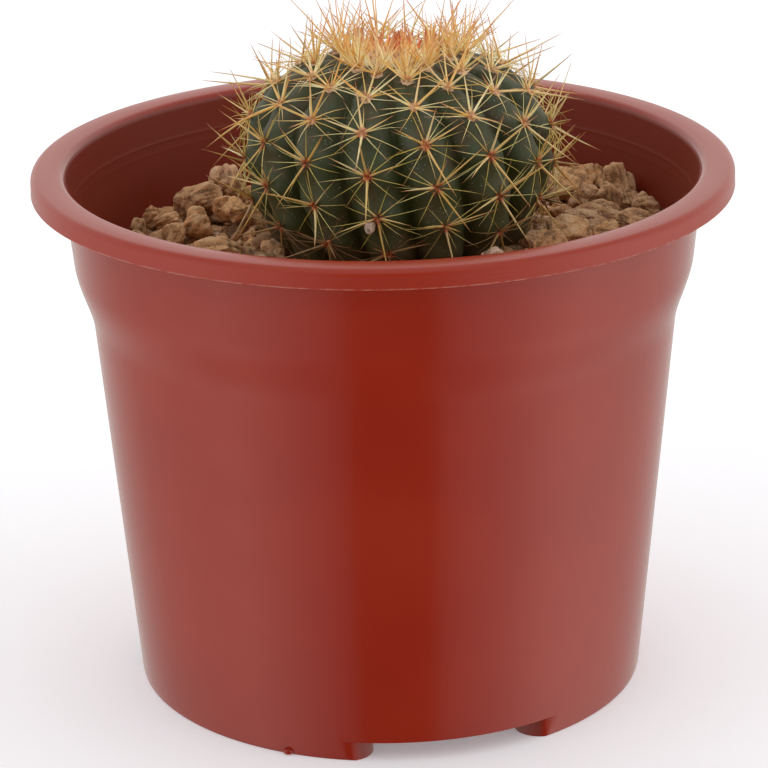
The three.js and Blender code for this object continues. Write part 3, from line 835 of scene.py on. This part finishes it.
class Cushions:
    """The places of all spine cushions and, at each, the ways out of the stem, up and across."""

    def __init__(self):
        # There are more steps than a rib has room for, and those off it are left out.
        rib, step = np.meshgrid(np.arange(RIBS), np.arange(-3, 6), indexing="ij")
        along = first_cushion(rib) + step * CUSHION_STEP
        here, ahead = self.at(rib, along), self.at(rib, along + 0.5)
        radius = np.hypot(here[..., 0] - STEM_X, here[..., 1])
        clear = (radius > CROWN_RADIUS + CROWN_MARGIN) & (along < LENGTHS[-1])
        kept = clear & (here[..., 2] > CUSHION_LOWEST_Z)
        self.centre = here[kept]
        self.radius = radius[kept]
        self.up = unit(ahead[kept] - self.centre)
        direction = np.arctan2(self.centre[:, 0] - STEM_X, -self.centre[:, 1])
        across = np.stack([np.cos(direction), np.sin(direction), 0 * direction], -1)
        self.across = unit(across - self.up * (across * self.up).sum(-1, keepdims=True))
        self.out = np.cross(self.across, self.up)

    @staticmethod
    def at(rib, along):
        """The place on a rib's crest at a length along it from the equator."""
        radius, z = crest(np.interp(along, LENGTHS, SLOPES))
        return around_axis(radius, z, rib_direction(rib, z), STEM_X)

    def heading(self, lean, turn):
        """Unit directions that lean from the way out by an angle, turned from the way up."""
        up, across, out = self.up[:, None], self.across[:, None], self.out[:, None]
        sideways = np.cos(turn)[..., None] * up + np.sin(turn)[..., None] * across
        return np.cos(lean)[..., None] * out + np.sin(lean)[..., None] * sideways


def tapered_rods(start, heading, bend, length, width, sides, stations, taper, foot=0.0):
    """Points and faces of many curved spikes. At a share t of its length a spike has moved by
    t times its heading and t squared times its bend, and its radius is half its width times
    1 - t to the power of the taper. The foot is swollen by a share, as far as FOOT_REACH."""
    count = len(start)
    aside = np.where(np.abs(heading[:, 2:]) < 0.9, [[0.0, 0, 1]], [[1.0, 0, 0]])
    first = unit(np.cross(heading, aside))
    second = np.cross(heading, first)
    t = np.asarray(stations)[None, :, None]
    middle = start[:, None] + length[:, None, None] * (t * heading[:, None] + t**2 * bend[:, None])
    swelling = 1 + foot * np.exp(-((t[..., 0] * length[:, None] / FOOT_REACH) ** 2))
    girth = width[:, None] / 2 * (1 - t[..., 0]) ** taper * swelling
    angles = np.arange(sides) * TURN / sides
    cosine, sine = np.cos(angles)[:, None], np.sin(angles)[:, None]
    ring = cosine * first[:, None] + sine * second[:, None]
    rings = middle[:, :, None] + girth[..., None, None] * ring[:, None]
    tip = start + length[:, None] * (heading + bend)
    points = np.concatenate([rings.reshape(count, -1, 3), start[:, None], tip[:, None]], 1)
    _, faces = closed_tube(np.zeros((len(stations), sides, 3)), np.zeros(3), np.zeros(3))
    offsets = np.arange(count)[:, None, None] * points.shape[1]
    faces = [(offsets + group).reshape(-1, group.shape[1]) for group in faces]
    shares = np.concatenate([np.repeat(stations, sides), [0.0, 1.0]])
    return points, faces, np.broadcast_to(shares, (count, len(shares)))


def rods_mesh(name, rods, **per_rod):
    """A mesh of many spikes, with the share along each, and values that each spike has whole."""
    points, faces, along = rods
    values = {key: np.repeat(numbers, points.shape[1]) for key, numbers in per_rod.items()}
    return make_mesh(name, points.reshape(-1, 3), faces, along=along.ravel(), **values)


def held_length(start, heading, wanted):
    """Lengths cut so that no tip passes the top of the plant or goes into the gravel."""
    rise = heading[..., 2]
    room_up = (SPINE_TOP_Z - start[..., 2]) / np.maximum(rise, 1e-3)
    room_down = (start[..., 2] - SPINE_FLOOR_Z) / np.maximum(-rise, 1e-3)
    return np.minimum(wanted, np.where(rise > 0, room_up, room_down))


def youth(z):
    """0 for the spines below the middle, and up to 1 for those near the crown."""
    return smooth(98, 108, z)


def age(z):
    """1 for the oldest growth, low on the stem, and 0 above the middle."""
    return 1 - smooth(83, 89.5, z)


# The two sorts of spines of a cushion, with angles in degrees. Turns are counted from the way up
# and leans from the way out, and shakes are the spread of both. Near the crown a lean shrinks by
# the share upright, and a width grows by the share stouter. Ring is how far from the cushion's
# middle a spine starts. Bow is the range of bends back to the skin, and sway the spread of chance
# bends. Fire, stout and low are values for the material.
SPINE_STATIONS = [0, 0.05, 0.3, 0.6, 0.88]
SIDE_SPINES = {
    "seed": 4,
    "turns": [-28, 30, -60, 62, -86, 85, -107, 109, -138, 136, 176],
    "leans": [76],
    "lengths": [5.8, 6.0, 7.2, 7.2, 8.4, 8.2, 8.2, 8.4, 7.2, 7.2, 6.0],
    "shakes": (8, 7), "upright": 0.5, "ring": 0.78, "bow": (0.05, 0.28), "sway": 0.06,
    "width": (0.14, 0.2), "stouter": 0.6, "sides": 5, "taper": 0.5, "foot": 1.0,
    "fire": 0.25, "stout": 0.0, "low": 1.0,
}
MIDDLE_SPINES = {
    "seed": 8,
    "turns": [2, -72, 68, 180],
    "leans": [46, 58, 58, 48],
    "lengths": [9.0, 9.6, 9.6, 11.0],
    "shakes": (11, 8), "upright": 0.6, "ring": 0.4, "bow": None, "sway": 0.035,
    "width": (0.36, 0.54), "stouter": 0.0, "sides": 6, "taper": 0.75, "foot": 0.4,
    "fire": 0.35, "stout": 1.0, "low": 0.8,
}


def spine_set(cushions, random, sort):
    """Start, heading, length, way out and nearness to the crown of each spine of a sort. Near the
    crown the spines stand up more steeply and grow longer."""
    turns, leans = np.radians(sort["turns"]), np.radians(sort["leans"])
    turn_shake, lean_shake = np.radians(sort["shakes"])
    shape = (len(cushions.centre), len(turns))
    crown = (1 - smooth(*NEAR_CROWN, cushions.radius))[:, None]
    turn = turns + random.normal(size=shape) * turn_shake
    lean = leans * (1 - sort["upright"] * crown) + random.normal(size=shape) * lean_shake
    heading = cushions.heading(lean, turn)
    grown = sort["lengths"] * (1 + LONGER_NEAR_CROWN * crown)
    grown = grown * (1 + random.normal(size=shape) * LENGTH_SPREAD)
    start = cushions.centre[:, None] + heading * sort["ring"] + cushions.out[:, None] * 0.1
    length = held_length(start, heading, grown)
    out = np.broadcast_to(cushions.out[:, None], heading.shape)
    keep = length > SHORTEST_SPINE
    return start[keep], heading[keep], length[keep], out[keep], np.broadcast_to(crown, shape)[keep]


def make_spines(name, cushions, sort):
    """All spines of a sort, round every cushion. Each is a tapered spike that bows back to the
    skin, less so near the crown, and sways by chance."""
    random = np.random.default_rng(sort["seed"])
    start, heading, length, out, crown = spine_set(cushions, random, sort)
    count = len(start)
    bend = np.zeros(start.shape)
    if sort["bow"]:
        bend -= out * random.uniform(*sort["bow"], (count, 1)) * (1 - crown[:, None])
    bend += random.normal(size=start.shape) * sort["sway"]
    length = held_length(start, heading + bend, length)
    width = random.uniform(*sort["width"], count) * (1 + sort["stouter"] * crown)
    form = (sort["sides"], SPINE_STATIONS, sort["taper"], sort["foot"])
    rods = tapered_rods(start, heading, bend, length, width, *form)
    young, low = youth(start[:, 2]), age(start[:, 2]) * sort["low"]
    stout = np.maximum(young * 0.7, sort["stout"])
    return rods_mesh(name, rods, own=random.random(count), fire=young * sort["fire"], stout=stout,
                     low=low, young=young * 0.55)


def crest_above(radius):
    """Height of a rib's crest above the equator, at a radius."""
    return crest(np.arccos(np.clip(radius / STEM_RADIUS, 0, 1) ** (ROUNDNESS_ABOVE / 2)))[1]


CROWN_EDGE_Z = float(crest_above(CROWN_RADIUS))


def crown_dome(part):
    """Height of the crown's low dome, at a share of its radius."""
    return CROWN_EDGE_Z - CROWN_SINK + CROWN_DOME * (1 - part**2)


def crown_place(part, direction):
    """A place on the dome of the crown, at a share of its radius."""
    return around_axis(part * CROWN_RADIUS, crown_dome(part), direction, STEM_X)


def top_place(radius, direction):
    """A place on the top of the plant: on the dome of the crown, or on the ribs round it."""
    part = np.minimum(radius / CROWN_RADIUS, 1)
    height = np.where(part < 1, crown_dome(part), crest_above(radius) - 0.5)
    return around_axis(radius, height, direction, STEM_X)


def make_tuft():
    """Bundles of young spines over the crown, at the places of a spiral. The further from the
    middle, the longer the spines are and the more they lean out. They are shorter at the back, and
    the middle ones are the youngest and fiery."""
    random = np.random.default_rng(12)
    number = np.repeat(np.arange(TUFT_BUNDLES), TUFT_SPINES_A_BUNDLE)
    count = len(number)
    share = np.sqrt((number + 0.4) / TUFT_BUNDLES)
    direction = number * TURN * GOLDEN_SHARE
    lean = TUFT_LEAN * share**1.5
    foot = top_place(share * TUFT_RADIUS, direction)
    foot += random.normal(size=(count, 3)) * [0.34, 0.34, 0.1]
    upright = around_axis(np.sin(lean), np.cos(lean), direction)
    sway = random.normal(size=(TUFT_BUNDLES, 3)) * 0.16
    shake = np.where(random.random(count) < 0.25, 0.3, 0.1)[:, None]
    heading = unit(upright + sway[number] + random.normal(size=(count, 3)) * shake)
    start = foot - heading * 0.6
    long = random.random(count) < 0.12
    growth = random.uniform(0.75, 1.15, TUFT_BUNDLES)[number] * random.uniform(0.45, 1.1, count)
    wanted = (4.6 + 3.8 * share) * growth * np.where(long, 1.6, 1)
    bend = random.normal(size=start.shape) * 0.06
    length = held_length(start, heading + bend, wanted * (1 - 0.45 * smooth(-2, 6, foot[:, 1])))
    width = random.uniform(0.75, 1.3, count) * np.where(long, 0.55, 1)
    rods = tapered_rods(start, heading, bend, length, width, 5, [0, 0.25, 0.5, 0.75, 0.92], 0.85)
    fire = np.clip(1.35 - 1.6 * share + random.normal(size=count) * 0.2, 0.08, 1)
    own = random.random(count)
    every = np.ones(count)
    return rods_mesh("tuft_spines", rods, own=own, fire=fire, stout=every * 0.7,
                     low=every * 0, young=every)


def ball(level):
    """The points and triangles of a ball of radius 1. It has 20 faces at level 1, and four times
    as many at each further level."""
    shape = bmesh.new()
    bmesh.ops.create_icosphere(shape, subdivisions=level, radius=1)
    points = np.array([corner.co for corner in shape.verts])
    faces = np.array([[corner.index for corner in face.verts] for face in shape.faces])
    shape.free()
    return points, faces


def scattered(shape, faces):
    """Joins copies of a shape: an array of copies, points and coordinates, and the shape's faces."""
    count, size = shape.shape[:2]
    all_faces = (np.arange(count)[:, None, None] * size + faces).reshape(-1, 3)
    return shape.reshape(-1, 3), [all_faces]


def make_hairs(name, random, start, heading, lengths, width, low):
    """Short crooked hairs of one width, with three sides and a range of lengths."""
    count = len(start)
    length = random.uniform(*lengths, count)
    bend = random.normal(size=start.shape) * 0.25
    rods = tapered_rods(start, heading, bend, length, np.full(count, width), 3, [0, 0.6], 0.5)
    return rods_mesh(name, rods, low=low)


def make_wool(cushions):
    """A felt pad on every cushion, a ball pressed flat and roughened, with short hairs all over."""
    random = np.random.default_rng(16)
    points, faces = ball(3)
    count = len(cushions.centre)
    old = 1 - smooth(100, 109, cushions.centre[:, 2])
    size = CUSHION_SIZE * random.uniform(0.85, 1.15, count) * (0.9 - 0.15 * old)
    axes = np.stack([cushions.across, cushions.up, cushions.out], 1)
    rough = 1 + random.normal(size=(count, len(points), 1)) * 0.09
    flat = points * CUSHION_SHAPE * rough * size[:, None, None]
    pads = cushions.centre[:, None] + np.einsum("cpk,ckd->cpd", flat, axes)
    pad_points, pad_faces = scattered(pads, faces)
    pad = make_mesh("cushion_wool", pad_points, pad_faces, low=np.repeat(old, len(points)))

    owner = np.repeat(np.arange(count), CUSHION_HAIRS)
    lean = np.arccos(random.uniform(0.05, 1.0, len(owner)))
    turn = random.uniform(0, TURN, len(owner))
    local = np.stack([np.sin(lean) * np.sin(turn), np.sin(lean) * np.cos(turn), np.cos(lean)], -1)
    loose = local + random.normal(size=local.shape) * 0.3
    heading = unit(np.einsum("hk,hkd->hd", loose, axes[owner]))
    foot = np.einsum("hk,hkd->hd", local * CUSHION_SHAPE * size[owner, None] * 0.9, axes[owner])
    start, low = cushions.centre[owner] + foot, old[owner] * 0.8
    return pad, make_hairs("cushion_hairs", random, start, heading, (0.35, 1.05), 0.07, low)


def make_crown_wool():
    """The woolly dome over the growing point, and the hairs on it."""
    random = np.random.default_rng(20)
    columns = 72
    part = np.linspace(1.14, 0.06, 20)[:, None]
    direction = np.arange(columns)[None, :] * TURN / columns
    rings = crown_place(part, direction)
    rings[..., 2] += random.normal(size=rings.shape[:2]) * 0.12
    rings[0, :, 2] = CROWN_EDGE_Z - 1.6
    low = around_axis(0.0, CROWN_EDGE_Z - 2.0, 0.0, STEM_X)
    high = around_axis(0.0, crown_dome(0), 0.0, STEM_X)
    points, faces = closed_tube(rings, low, high)
    dome = make_mesh("crown_wool", points, faces, low=np.zeros(len(points)))

    place = np.sqrt(random.random(CROWN_HAIRS)) * 1.1
    start = crown_place(place, random.uniform(0, TURN, CROWN_HAIRS))
    heading = unit(np.array([0, 0, 1.0]) + random.normal(size=start.shape) * 0.6)
    low = np.zeros(CROWN_HAIRS)
    return dome, make_hairs("crown_hairs", random, start, heading, (0.6, 1.8), 0.08, low)


def gravel_height(x, y):
    """The general level of the gravel: a slope that rises to the right, and a mound at the stem."""
    from_stem = np.hypot(x - STEM_X, y) / FOOT_RADIUS
    return GRAVEL_LEVEL + GRAVEL_RISE * x + GRAVEL_MOUND * (1 - from_stem)


def waves(points, random, count, size):
    """Uneven relief from -1 to 1: the mean of sine waves that run in random directions."""
    run = random.normal(size=(count, 3)) * TURN / size / math.sqrt(3)
    shift = random.uniform(0, TURN, count)
    return np.sin(points @ run.T + shift).mean(-1) * math.sqrt(count) / 1.6


def make_bed():
    """The grit between and under the stones: a ring-shaped slab with a crumbly top. Its rings run
    up the outside, in over the top and down the hole at the stem, and a strip closes it below."""
    random = np.random.default_rng(24)
    columns, rows = 220, 64
    direction = np.arange(columns)[None, :] * TURN / columns
    share = np.linspace(0, 1, rows)[:, None]
    inner = around_axis(BED_HOLE, 0.0, direction, STEM_X)[..., :2]
    outer = around_axis(BED_RADIUS, 0.0, direction)[..., :2]
    flat = outer + (inner - outer) * share[..., None]
    level = gravel_height(flat[..., 0], flat[..., 1]) - BED_BELOW
    top = np.concatenate([flat, level[..., None]], -1)
    top[..., 2] += 0.55 * waves(top, random, 60, 2.6) + 0.35 * waves(top, random, 60, 1.0)
    inner_foot, outer_foot = top[-1:] * [1, 1, 0], top[:1] * [1, 1, 0] * BED_FOOT / BED_RADIUS
    bottom = np.array([0, 0, GRAVEL_BOTTOM])
    rings = np.concatenate([outer_foot + bottom, top, inner_foot + bottom])
    closing = grid_faces(2, columns)
    last = (len(rings) - 1) * columns
    closing = np.where(closing < columns, closing + last, closing - columns)
    points = rings.reshape(-1, 3)
    plain = np.full(len(points), 0.1)
    faces = [grid_faces(len(rings), columns), closing]
    # The low raised value gives the grit the painted shade of the stones' hollows.
    return make_mesh("grit_bed", points, faces, stone_tone=plain, raised=plain * 2)


# Stones that can be told apart in the photo, with their places and sizes: the middle
# (x, y, z), width, depth and height, the turn in degrees and the tone, 0 to 1.
MARKED_DETAIL = 5
MARKED_TILT = 0.25
MARKED_STONES = [
    (-33.6, 26.2, 77.6, 7.9, 6.0, 6.2, 10, 0.28),
    (-32.6, 14.2, 76.6, 7.2, 6.2, 5.6, 35, 0.70),
    (-41.0, 22.7, 75.6, 3.6, 3.0, 4.2, 60, 0.45),
    (-43.6, 18.9, 74.6, 3.4, 3.0, 3.4, 20, 0.20),
    (-38.1, 20.0, 75.4, 4.8, 3.4, 2.8, 15, 0.40),
    (-37.0, 10.2, 75.6, 5.4, 4.6, 4.0, 80, 0.35),
    (-28.6, -4.5, 77.6, 7.0, 5.0, 4.2, 5, 0.42),
    (-27.9, 31.4, 78.4, 6.0, 6.4, 6.6, 25, 0.78),
    (-25.8, 15.0, 78.6, 6.4, 5.4, 4.6, 50, 0.55),
    (-28.4, 20.4, 77.2, 4.4, 5.4, 4.4, 70, 0.50),
    (37.4, 31.2, 79.6, 6.0, 5.0, 4.6, 20, 0.55),
    (33.0, 26.4, 79.2, 8.2, 6.4, 5.2, 15, 0.42),
    (41.4, 23.0, 79.6, 6.8, 6.0, 6.6, 55, 0.30),
    (35.4, 18.8, 79.2, 4.8, 4.6, 5.2, 30, 0.22),
    (39.6, 18.0, 79.2, 5.0, 4.6, 5.2, 75, 0.25),
    (35.6, 9.6, 78.6, 10.6, 6.0, 3.8, 8, 0.16),
    (31.4, -4.0, 79.4, 7.4, 6.4, 5.4, 40, 0.34),
    (27.0, -9.8, 79.4, 7.0, 5.4, 4.6, 10, 0.36),
    (37.8, -1.6, 79.0, 5.6, 5.0, 4.0, 65, 0.40),
    (46.0, 13.0, 78.6, 5.6, 5.0, 5.0, 45, 0.18),
    (43.4, 14.6, 79.0, 3.6, 2.4, 4.4, 100, 0.12),
    (43.6, 4.6, 78.8, 7.0, 4.6, 3.6, 30, 0.25),
    (17.8, -22.6, 81.5, 4.4, 3.2, 3.0, 12, 0.91),
    (16.4, -25.2, 78.8, 6.4, 6.0, 5.0, 60, 0.60),
    (26.2, -21.6, 80.6, 5.6, 4.6, 4.6, 20, 0.62),
    (-2.3, -25.5, 88.0, 1.9, 1.5, 2.1, 20, 1.00),
]


# What roughens a stone. The steps of the slanting layers, and the strength and length of the
# waves, are shares of its half size. The ball is a little larger than that, since planes trim it.
PLANES = 12
PLANE_DISTANCES = (0.45, 0.95)
DENTS = 4
LAYER_STEPS = (0.9, 0.6, 0.42)
STONE_WAVES = ((0.05, 1.2), (0.022, 0.42), (0.012, 0.2))
WAVE_DIRECTIONS = 7
BALL_SHARE = 0.62


def stone_shapes(points, middle, size, turn, random, tilt):
    """Broken stones from a ball, and how far each point stands out, 0 to 1. Random planes trim a
    stone: in a direction the radius is the soft least of 1 and the distance to each plane. Round
    dents, ledges along slanting layers and folded sine waves of three sizes roughen it."""
    count = len(middle)
    planes = unit(random.normal(size=(count, PLANES, 3)))
    away = random.uniform(*PLANE_DISTANCES, (count, PLANES))
    facing = np.maximum(np.einsum("pc,nkc->npk", points, planes), 0.05)
    radius = (1 + ((facing / away[:, None]) ** 48).sum(-1)) ** (-1 / 48)
    spots = unit(random.normal(size=(count, DENTS, 3)))
    near = np.einsum("pc,nkc->npk", points, spots)
    dents = 0.035 * np.exp((near - 1) / 0.08).sum(-1)
    layers = unit(random.normal(size=(count, len(LAYER_STEPS), 3)))
    depth = np.einsum("pc,nkc->npk", points, layers) * radius[..., None]
    shift = random.uniform(0, TURN, (count, 1, len(LAYER_STEPS)))
    relief = 0.026 * np.tanh(5 * np.sin(depth * TURN / LAYER_STEPS + shift)).sum(-1)
    for amount, wavelength in STONE_WAVES:
        run = random.normal(size=(count, WAVE_DIRECTIONS, 3)) * TURN / wavelength / math.sqrt(3)
        shift = random.uniform(0, TURN, (count, 1, WAVE_DIRECTIONS))
        wave = np.sin(np.einsum("pc,nwc->npw", points, run) + shift).mean(-1)
        relief += amount * (np.abs(wave) * 3.6 - 0.9)
    raised = np.clip(0.55 + relief * 5, 0, 1)
    rough = radius * (1 + relief - dents)
    shapes = points * rough[..., None] * size[:, None] * BALL_SHARE
    lean = random.normal(size=count) * tilt
    return kept_inside(leaned(shapes, lean, turn) + middle[:, None]), raised


def leaned(shapes, lean, turn):
    """Shapes tipped by an angle about the X axis, and then turned about the upright axis."""
    lean, turn = lean[:, None], turn[:, None]
    x, y, z = np.moveaxis(shapes, -1, 0)
    level = y * np.cos(lean) - z * np.sin(lean)
    height = y * np.sin(lean) + z * np.cos(lean)
    turned_x = x * np.cos(turn) - level * np.sin(turn)
    turned_y = x * np.sin(turn) + level * np.cos(turn)
    return np.stack([turned_x, turned_y, height], -1)


def spread_out(random, wanted, clear, taken):
    """Random places on the gravel, none nearer to another than a distance, or to a place taken.
    Each try lowers the number wanted a little, so that the search ends."""
    found = [tuple(place) for place in taken]
    fresh = []
    reach = SHOULDER_HIGH[0] - WALL
    furthest, nearest = reach - 1.8, STEM_RADIUS - 5.5
    while len(fresh) < wanted:
        x, y = random.uniform(-reach, reach, 2)
        if math.hypot(x, y) > furthest or math.hypot(x - STEM_X, y) < nearest:
            continue
        wanted -= 0.004
        if all((x - a) ** 2 + (y - b) ** 2 > clear**2 for a, b in found):
            found.append((x, y))
            fresh.append((x, y))
    return np.array(fresh)


def kept_inside(stones):
    """Moves each stone inwards until it is clear of the pot's wall."""
    radius = np.hypot(stones[..., 0], stones[..., 1])
    heights = [SHOULDER_LOW[1], SHOULDER_HIGH[1], POT_HEIGHT]
    radii = [SHOULDER_LOW[0], SHOULDER_HIGH[0], COLLAR_RADIUS]
    room = np.interp(stones[..., 2], heights, radii) - WALL - STONE_GAP
    over = np.maximum((radius - room).max(-1), 0)
    middle = stones.mean(1)
    inward = -middle[:, :2] / np.linalg.norm(middle[:, :2], axis=-1, keepdims=True)
    stones[..., :2] += (inward * over[:, None])[:, None]
    return stones


def stones_mesh(name, detail, middle, size, turn, tones, random, tilt):
    """A mesh of stones at these places, each with its size, turn and tone."""
    points, faces = ball(detail)
    stones, raised = stone_shapes(points, middle, size, turn, random, tilt)
    tones = np.repeat(tones, len(points))
    return make_mesh(name, *scattered(stones, faces), stone_tone=tones, raised=raised.ravel())


# The sorts of stones that are placed by chance: how many are wanted, how far apart at least, and
# the range of widths. Depth and height are shares of the width, from least to most. The middle is
# sunk by a share of the height and by a depth, and uneven is the spread of that. The tone runs
# from 0 to the palest, and tilt is the spread of how far a stone leans.
LARGE_STONES = {
    "detail": 4, "number": 122, "clear": 5.4, "width": (4.4, 7.4), "least": (0.65, 0.5),
    "most": (0.95, 0.85), "sunk": (0.3, 0.0), "uneven": 0.6, "palest": 0.85, "tilt": 0.25,
}
SMALL_STONES = {
    "detail": 3, "number": 340, "clear": 3.1, "width": (2.6, 4.8), "least": (0.5, 0.45),
    "most": (0.95, 0.85), "sunk": (0.0, 1.0), "uneven": 0.5, "palest": 0.9, "tilt": 0.4,
}
STONE_CHIPS = {
    "detail": 2, "number": 1100, "clear": 1.5, "width": (1.2, 3.8), "least": (0.25, 0.2),
    "most": (0.9, 0.75), "sunk": (0.0, 1.1), "uneven": 0.8, "palest": 0.95, "tilt": 0.6,
}


def loose_stones(name, random, taken, sort):
    """Stones of one sort, spread by chance over the gravel, clear of places that are taken.
    Chips have none to keep clear of, and lie between the other stones."""
    places = spread_out(random, sort["number"], sort["clear"], taken)
    count = len(places)
    width = random.uniform(*sort["width"], count)
    shares = random.uniform(sort["least"], sort["most"], (count, 2))
    size = width[:, None] * np.column_stack([np.ones(count), shares])
    sunk_share, sunk_depth = sort["sunk"]
    level = gravel_height(*places.T) - sunk_share * size[:, 2] - sunk_depth
    level += random.normal(size=count) * sort["uneven"]
    turn = random.uniform(0, TURN, count)
    tones = random.uniform(0, sort["palest"], count)
    middle = np.column_stack([places, level])
    return stones_mesh(name, sort["detail"], middle, size, turn, tones, random, sort["tilt"])


def make_gravel():
    """The stones that can be told apart, the three sorts between them, and the grit below."""
    random = np.random.default_rng(28)
    marked = np.array(MARKED_STONES)
    middle, size, turn, tones = marked[:, :3], marked[:, 3:6], np.radians(marked[:, 6]), marked[:, 7]
    form = (MARKED_DETAIL, middle, size, turn, tones)
    taken = middle[:, :2]
    return (
        stones_mesh("marked_stones", *form, random, MARKED_TILT),
        loose_stones("large_stones", random, taken, LARGE_STONES),
        loose_stones("small_stones", random, taken, SMALL_STONES),
        loose_stones("stone_chips", random, [], STONE_CHIPS),
        make_bed(),
    )


def make_camera():
    """The camera, which looks from its place at its aim and leans over a little."""
    data = bpy.data.cameras.new("camera")
    data.lens = CAMERA_LENS
    data.sensor_width = SENSOR_WIDTH
    camera = bpy.data.objects.new("camera", data)
    bpy.context.scene.collection.objects.link(camera)
    place, aim = Vector(CAMERA_PLACE) * MM, Vector(CAMERA_AIM) * MM
    facing = (aim - place).to_track_quat("-Z", "Y").to_matrix().to_4x4()
    camera.matrix_world = Matrix.Translation(place) @ facing @ Matrix.Rotation(-CAMERA_LEAN, 4, "Z")
    bpy.context.scene.camera = camera


def make_floor():
    """A wide board under the pot. Gloss on the pot mirrors the studio and not the board."""
    half = 6000
    corners = np.array([(-half, -half, 0), (half, -half, 0), (half, half, 0), (-half, half, 0)])
    floor = make_mesh("floor", corners, [np.array([[0, 1, 2, 3]])])
    floor.data.materials.append(pale_floor())
    floor.visible_glossy = False


# The studio light at eye level and below: directions in degrees, from the front towards +X, with
# the brightness there. There is a large diffuser at each side and a dark gap in front.
STUDIO_LIGHT = [
    (-180, 0.75), (-150, 0.68), (-120, 0.70), (-100, 0.88), (-80, 1.08), (-66, 1.28), (-50, 1.08),
    (-38, 0.84), (-28, 0.62), (-21, 0.42), (-17, 0.30), (-14, 0.03), (19, 0.03), (22, 0.30),
    (30, 0.56), (40, 0.78), (48, 0.92), (57, 1.14), (68, 1.44), (84, 1.54), (100, 1.26),
    (115, 0.96), (130, 0.76), (151, 0.68), (180, 0.75),
]
BRIGHTEST = 1.6
CEILING_LIGHT = 0.85
BACKDROP_LIGHT = 0.98
NEAR_POT_SHADE = 0.6
STUDIO_TINT = (1.0, 0.98, 0.935, 1.0)
SKIRT_GAIN = 0.15


def make_surroundings():
    """Studio light from all round. A bright backdrop stands behind the pot, the ceiling is dimmer,
    and it is darker right below, where the pot shades its own ground."""
    world = bpy.data.worlds.new("studio")
    bpy.context.scene.world = world
    paint = Paint(world)
    way = paint.node("ShaderNodeTexCoord", output="Generated")
    turn = paint.part(way, "X").math("ARCTAN2", paint.part(way, "Y") * -1) / DEGREE
    rise = paint.part(way, "Z")
    shares = [(0.5 + angle / 360, light / BRIGHTEST) for angle, light in STUDIO_LIGHT]
    stops = [(place, (share, share, share, 1.0)) for place, share in shares]
    around = paint.ramp(turn / 360 + 0.5, *stops) * BRIGHTEST
    behind = turn.math("ABSOLUTE").smooth(85, 115) * rise.smooth(-0.25, 0.1)
    walls = around * (1 - behind) + behind * BACKDROP_LIGHT
    level = walls * (1 + rise.smooth(-0.44, -0.32) * SKIRT_GAIN)
    above = rise.smooth(0.45, 0.8)
    below = 1 - rise.smooth(-0.92, -0.58)
    strength = (level * (1 - above) + above * CEILING_LIGHT) * (1 - below * NEAR_POT_SHADE)
    shader = paint.node("ShaderNodeBackground", inputs={0: STUDIO_TINT, 1: strength})
    paint.node("ShaderNodeOutputWorld", inputs={0: shader})


def main():
    """Makes the view and the pieces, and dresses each."""
    make_camera()
    make_surroundings()
    make_floor()
    horn, wool, stone = spine_horn(), plant_wool(), gravel_stone()
    cushions = Cushions()
    dress(make_pot(), pot_plastic(), "pot_plastic", "pot")
    for stones in make_gravel():
        dress(stones, stone, "gravel", "gravel")
    dress(make_stem(), stem_skin(), "stem_skin", "cactus")
    dress(make_spines("side_spines", cushions, SIDE_SPINES), horn, "spines", "cactus")
    dress(make_spines("middle_spines", cushions, MIDDLE_SPINES), horn, "spines", "cactus")
    dress(make_tuft(), horn, "spines", "crown")
    for piece in make_wool(cushions):
        dress(piece, wool, "wool", "cactus")
    for piece in make_crown_wool():
        dress(piece, wool, "wool", "crown")
    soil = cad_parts["soil"]
    soil.data.materials.clear()
    soil.data.materials.append(potting_mix())
    bpy.context.scene.view_settings.view_transform = "Standard"
    bpy.context.view_layer.update()


main()
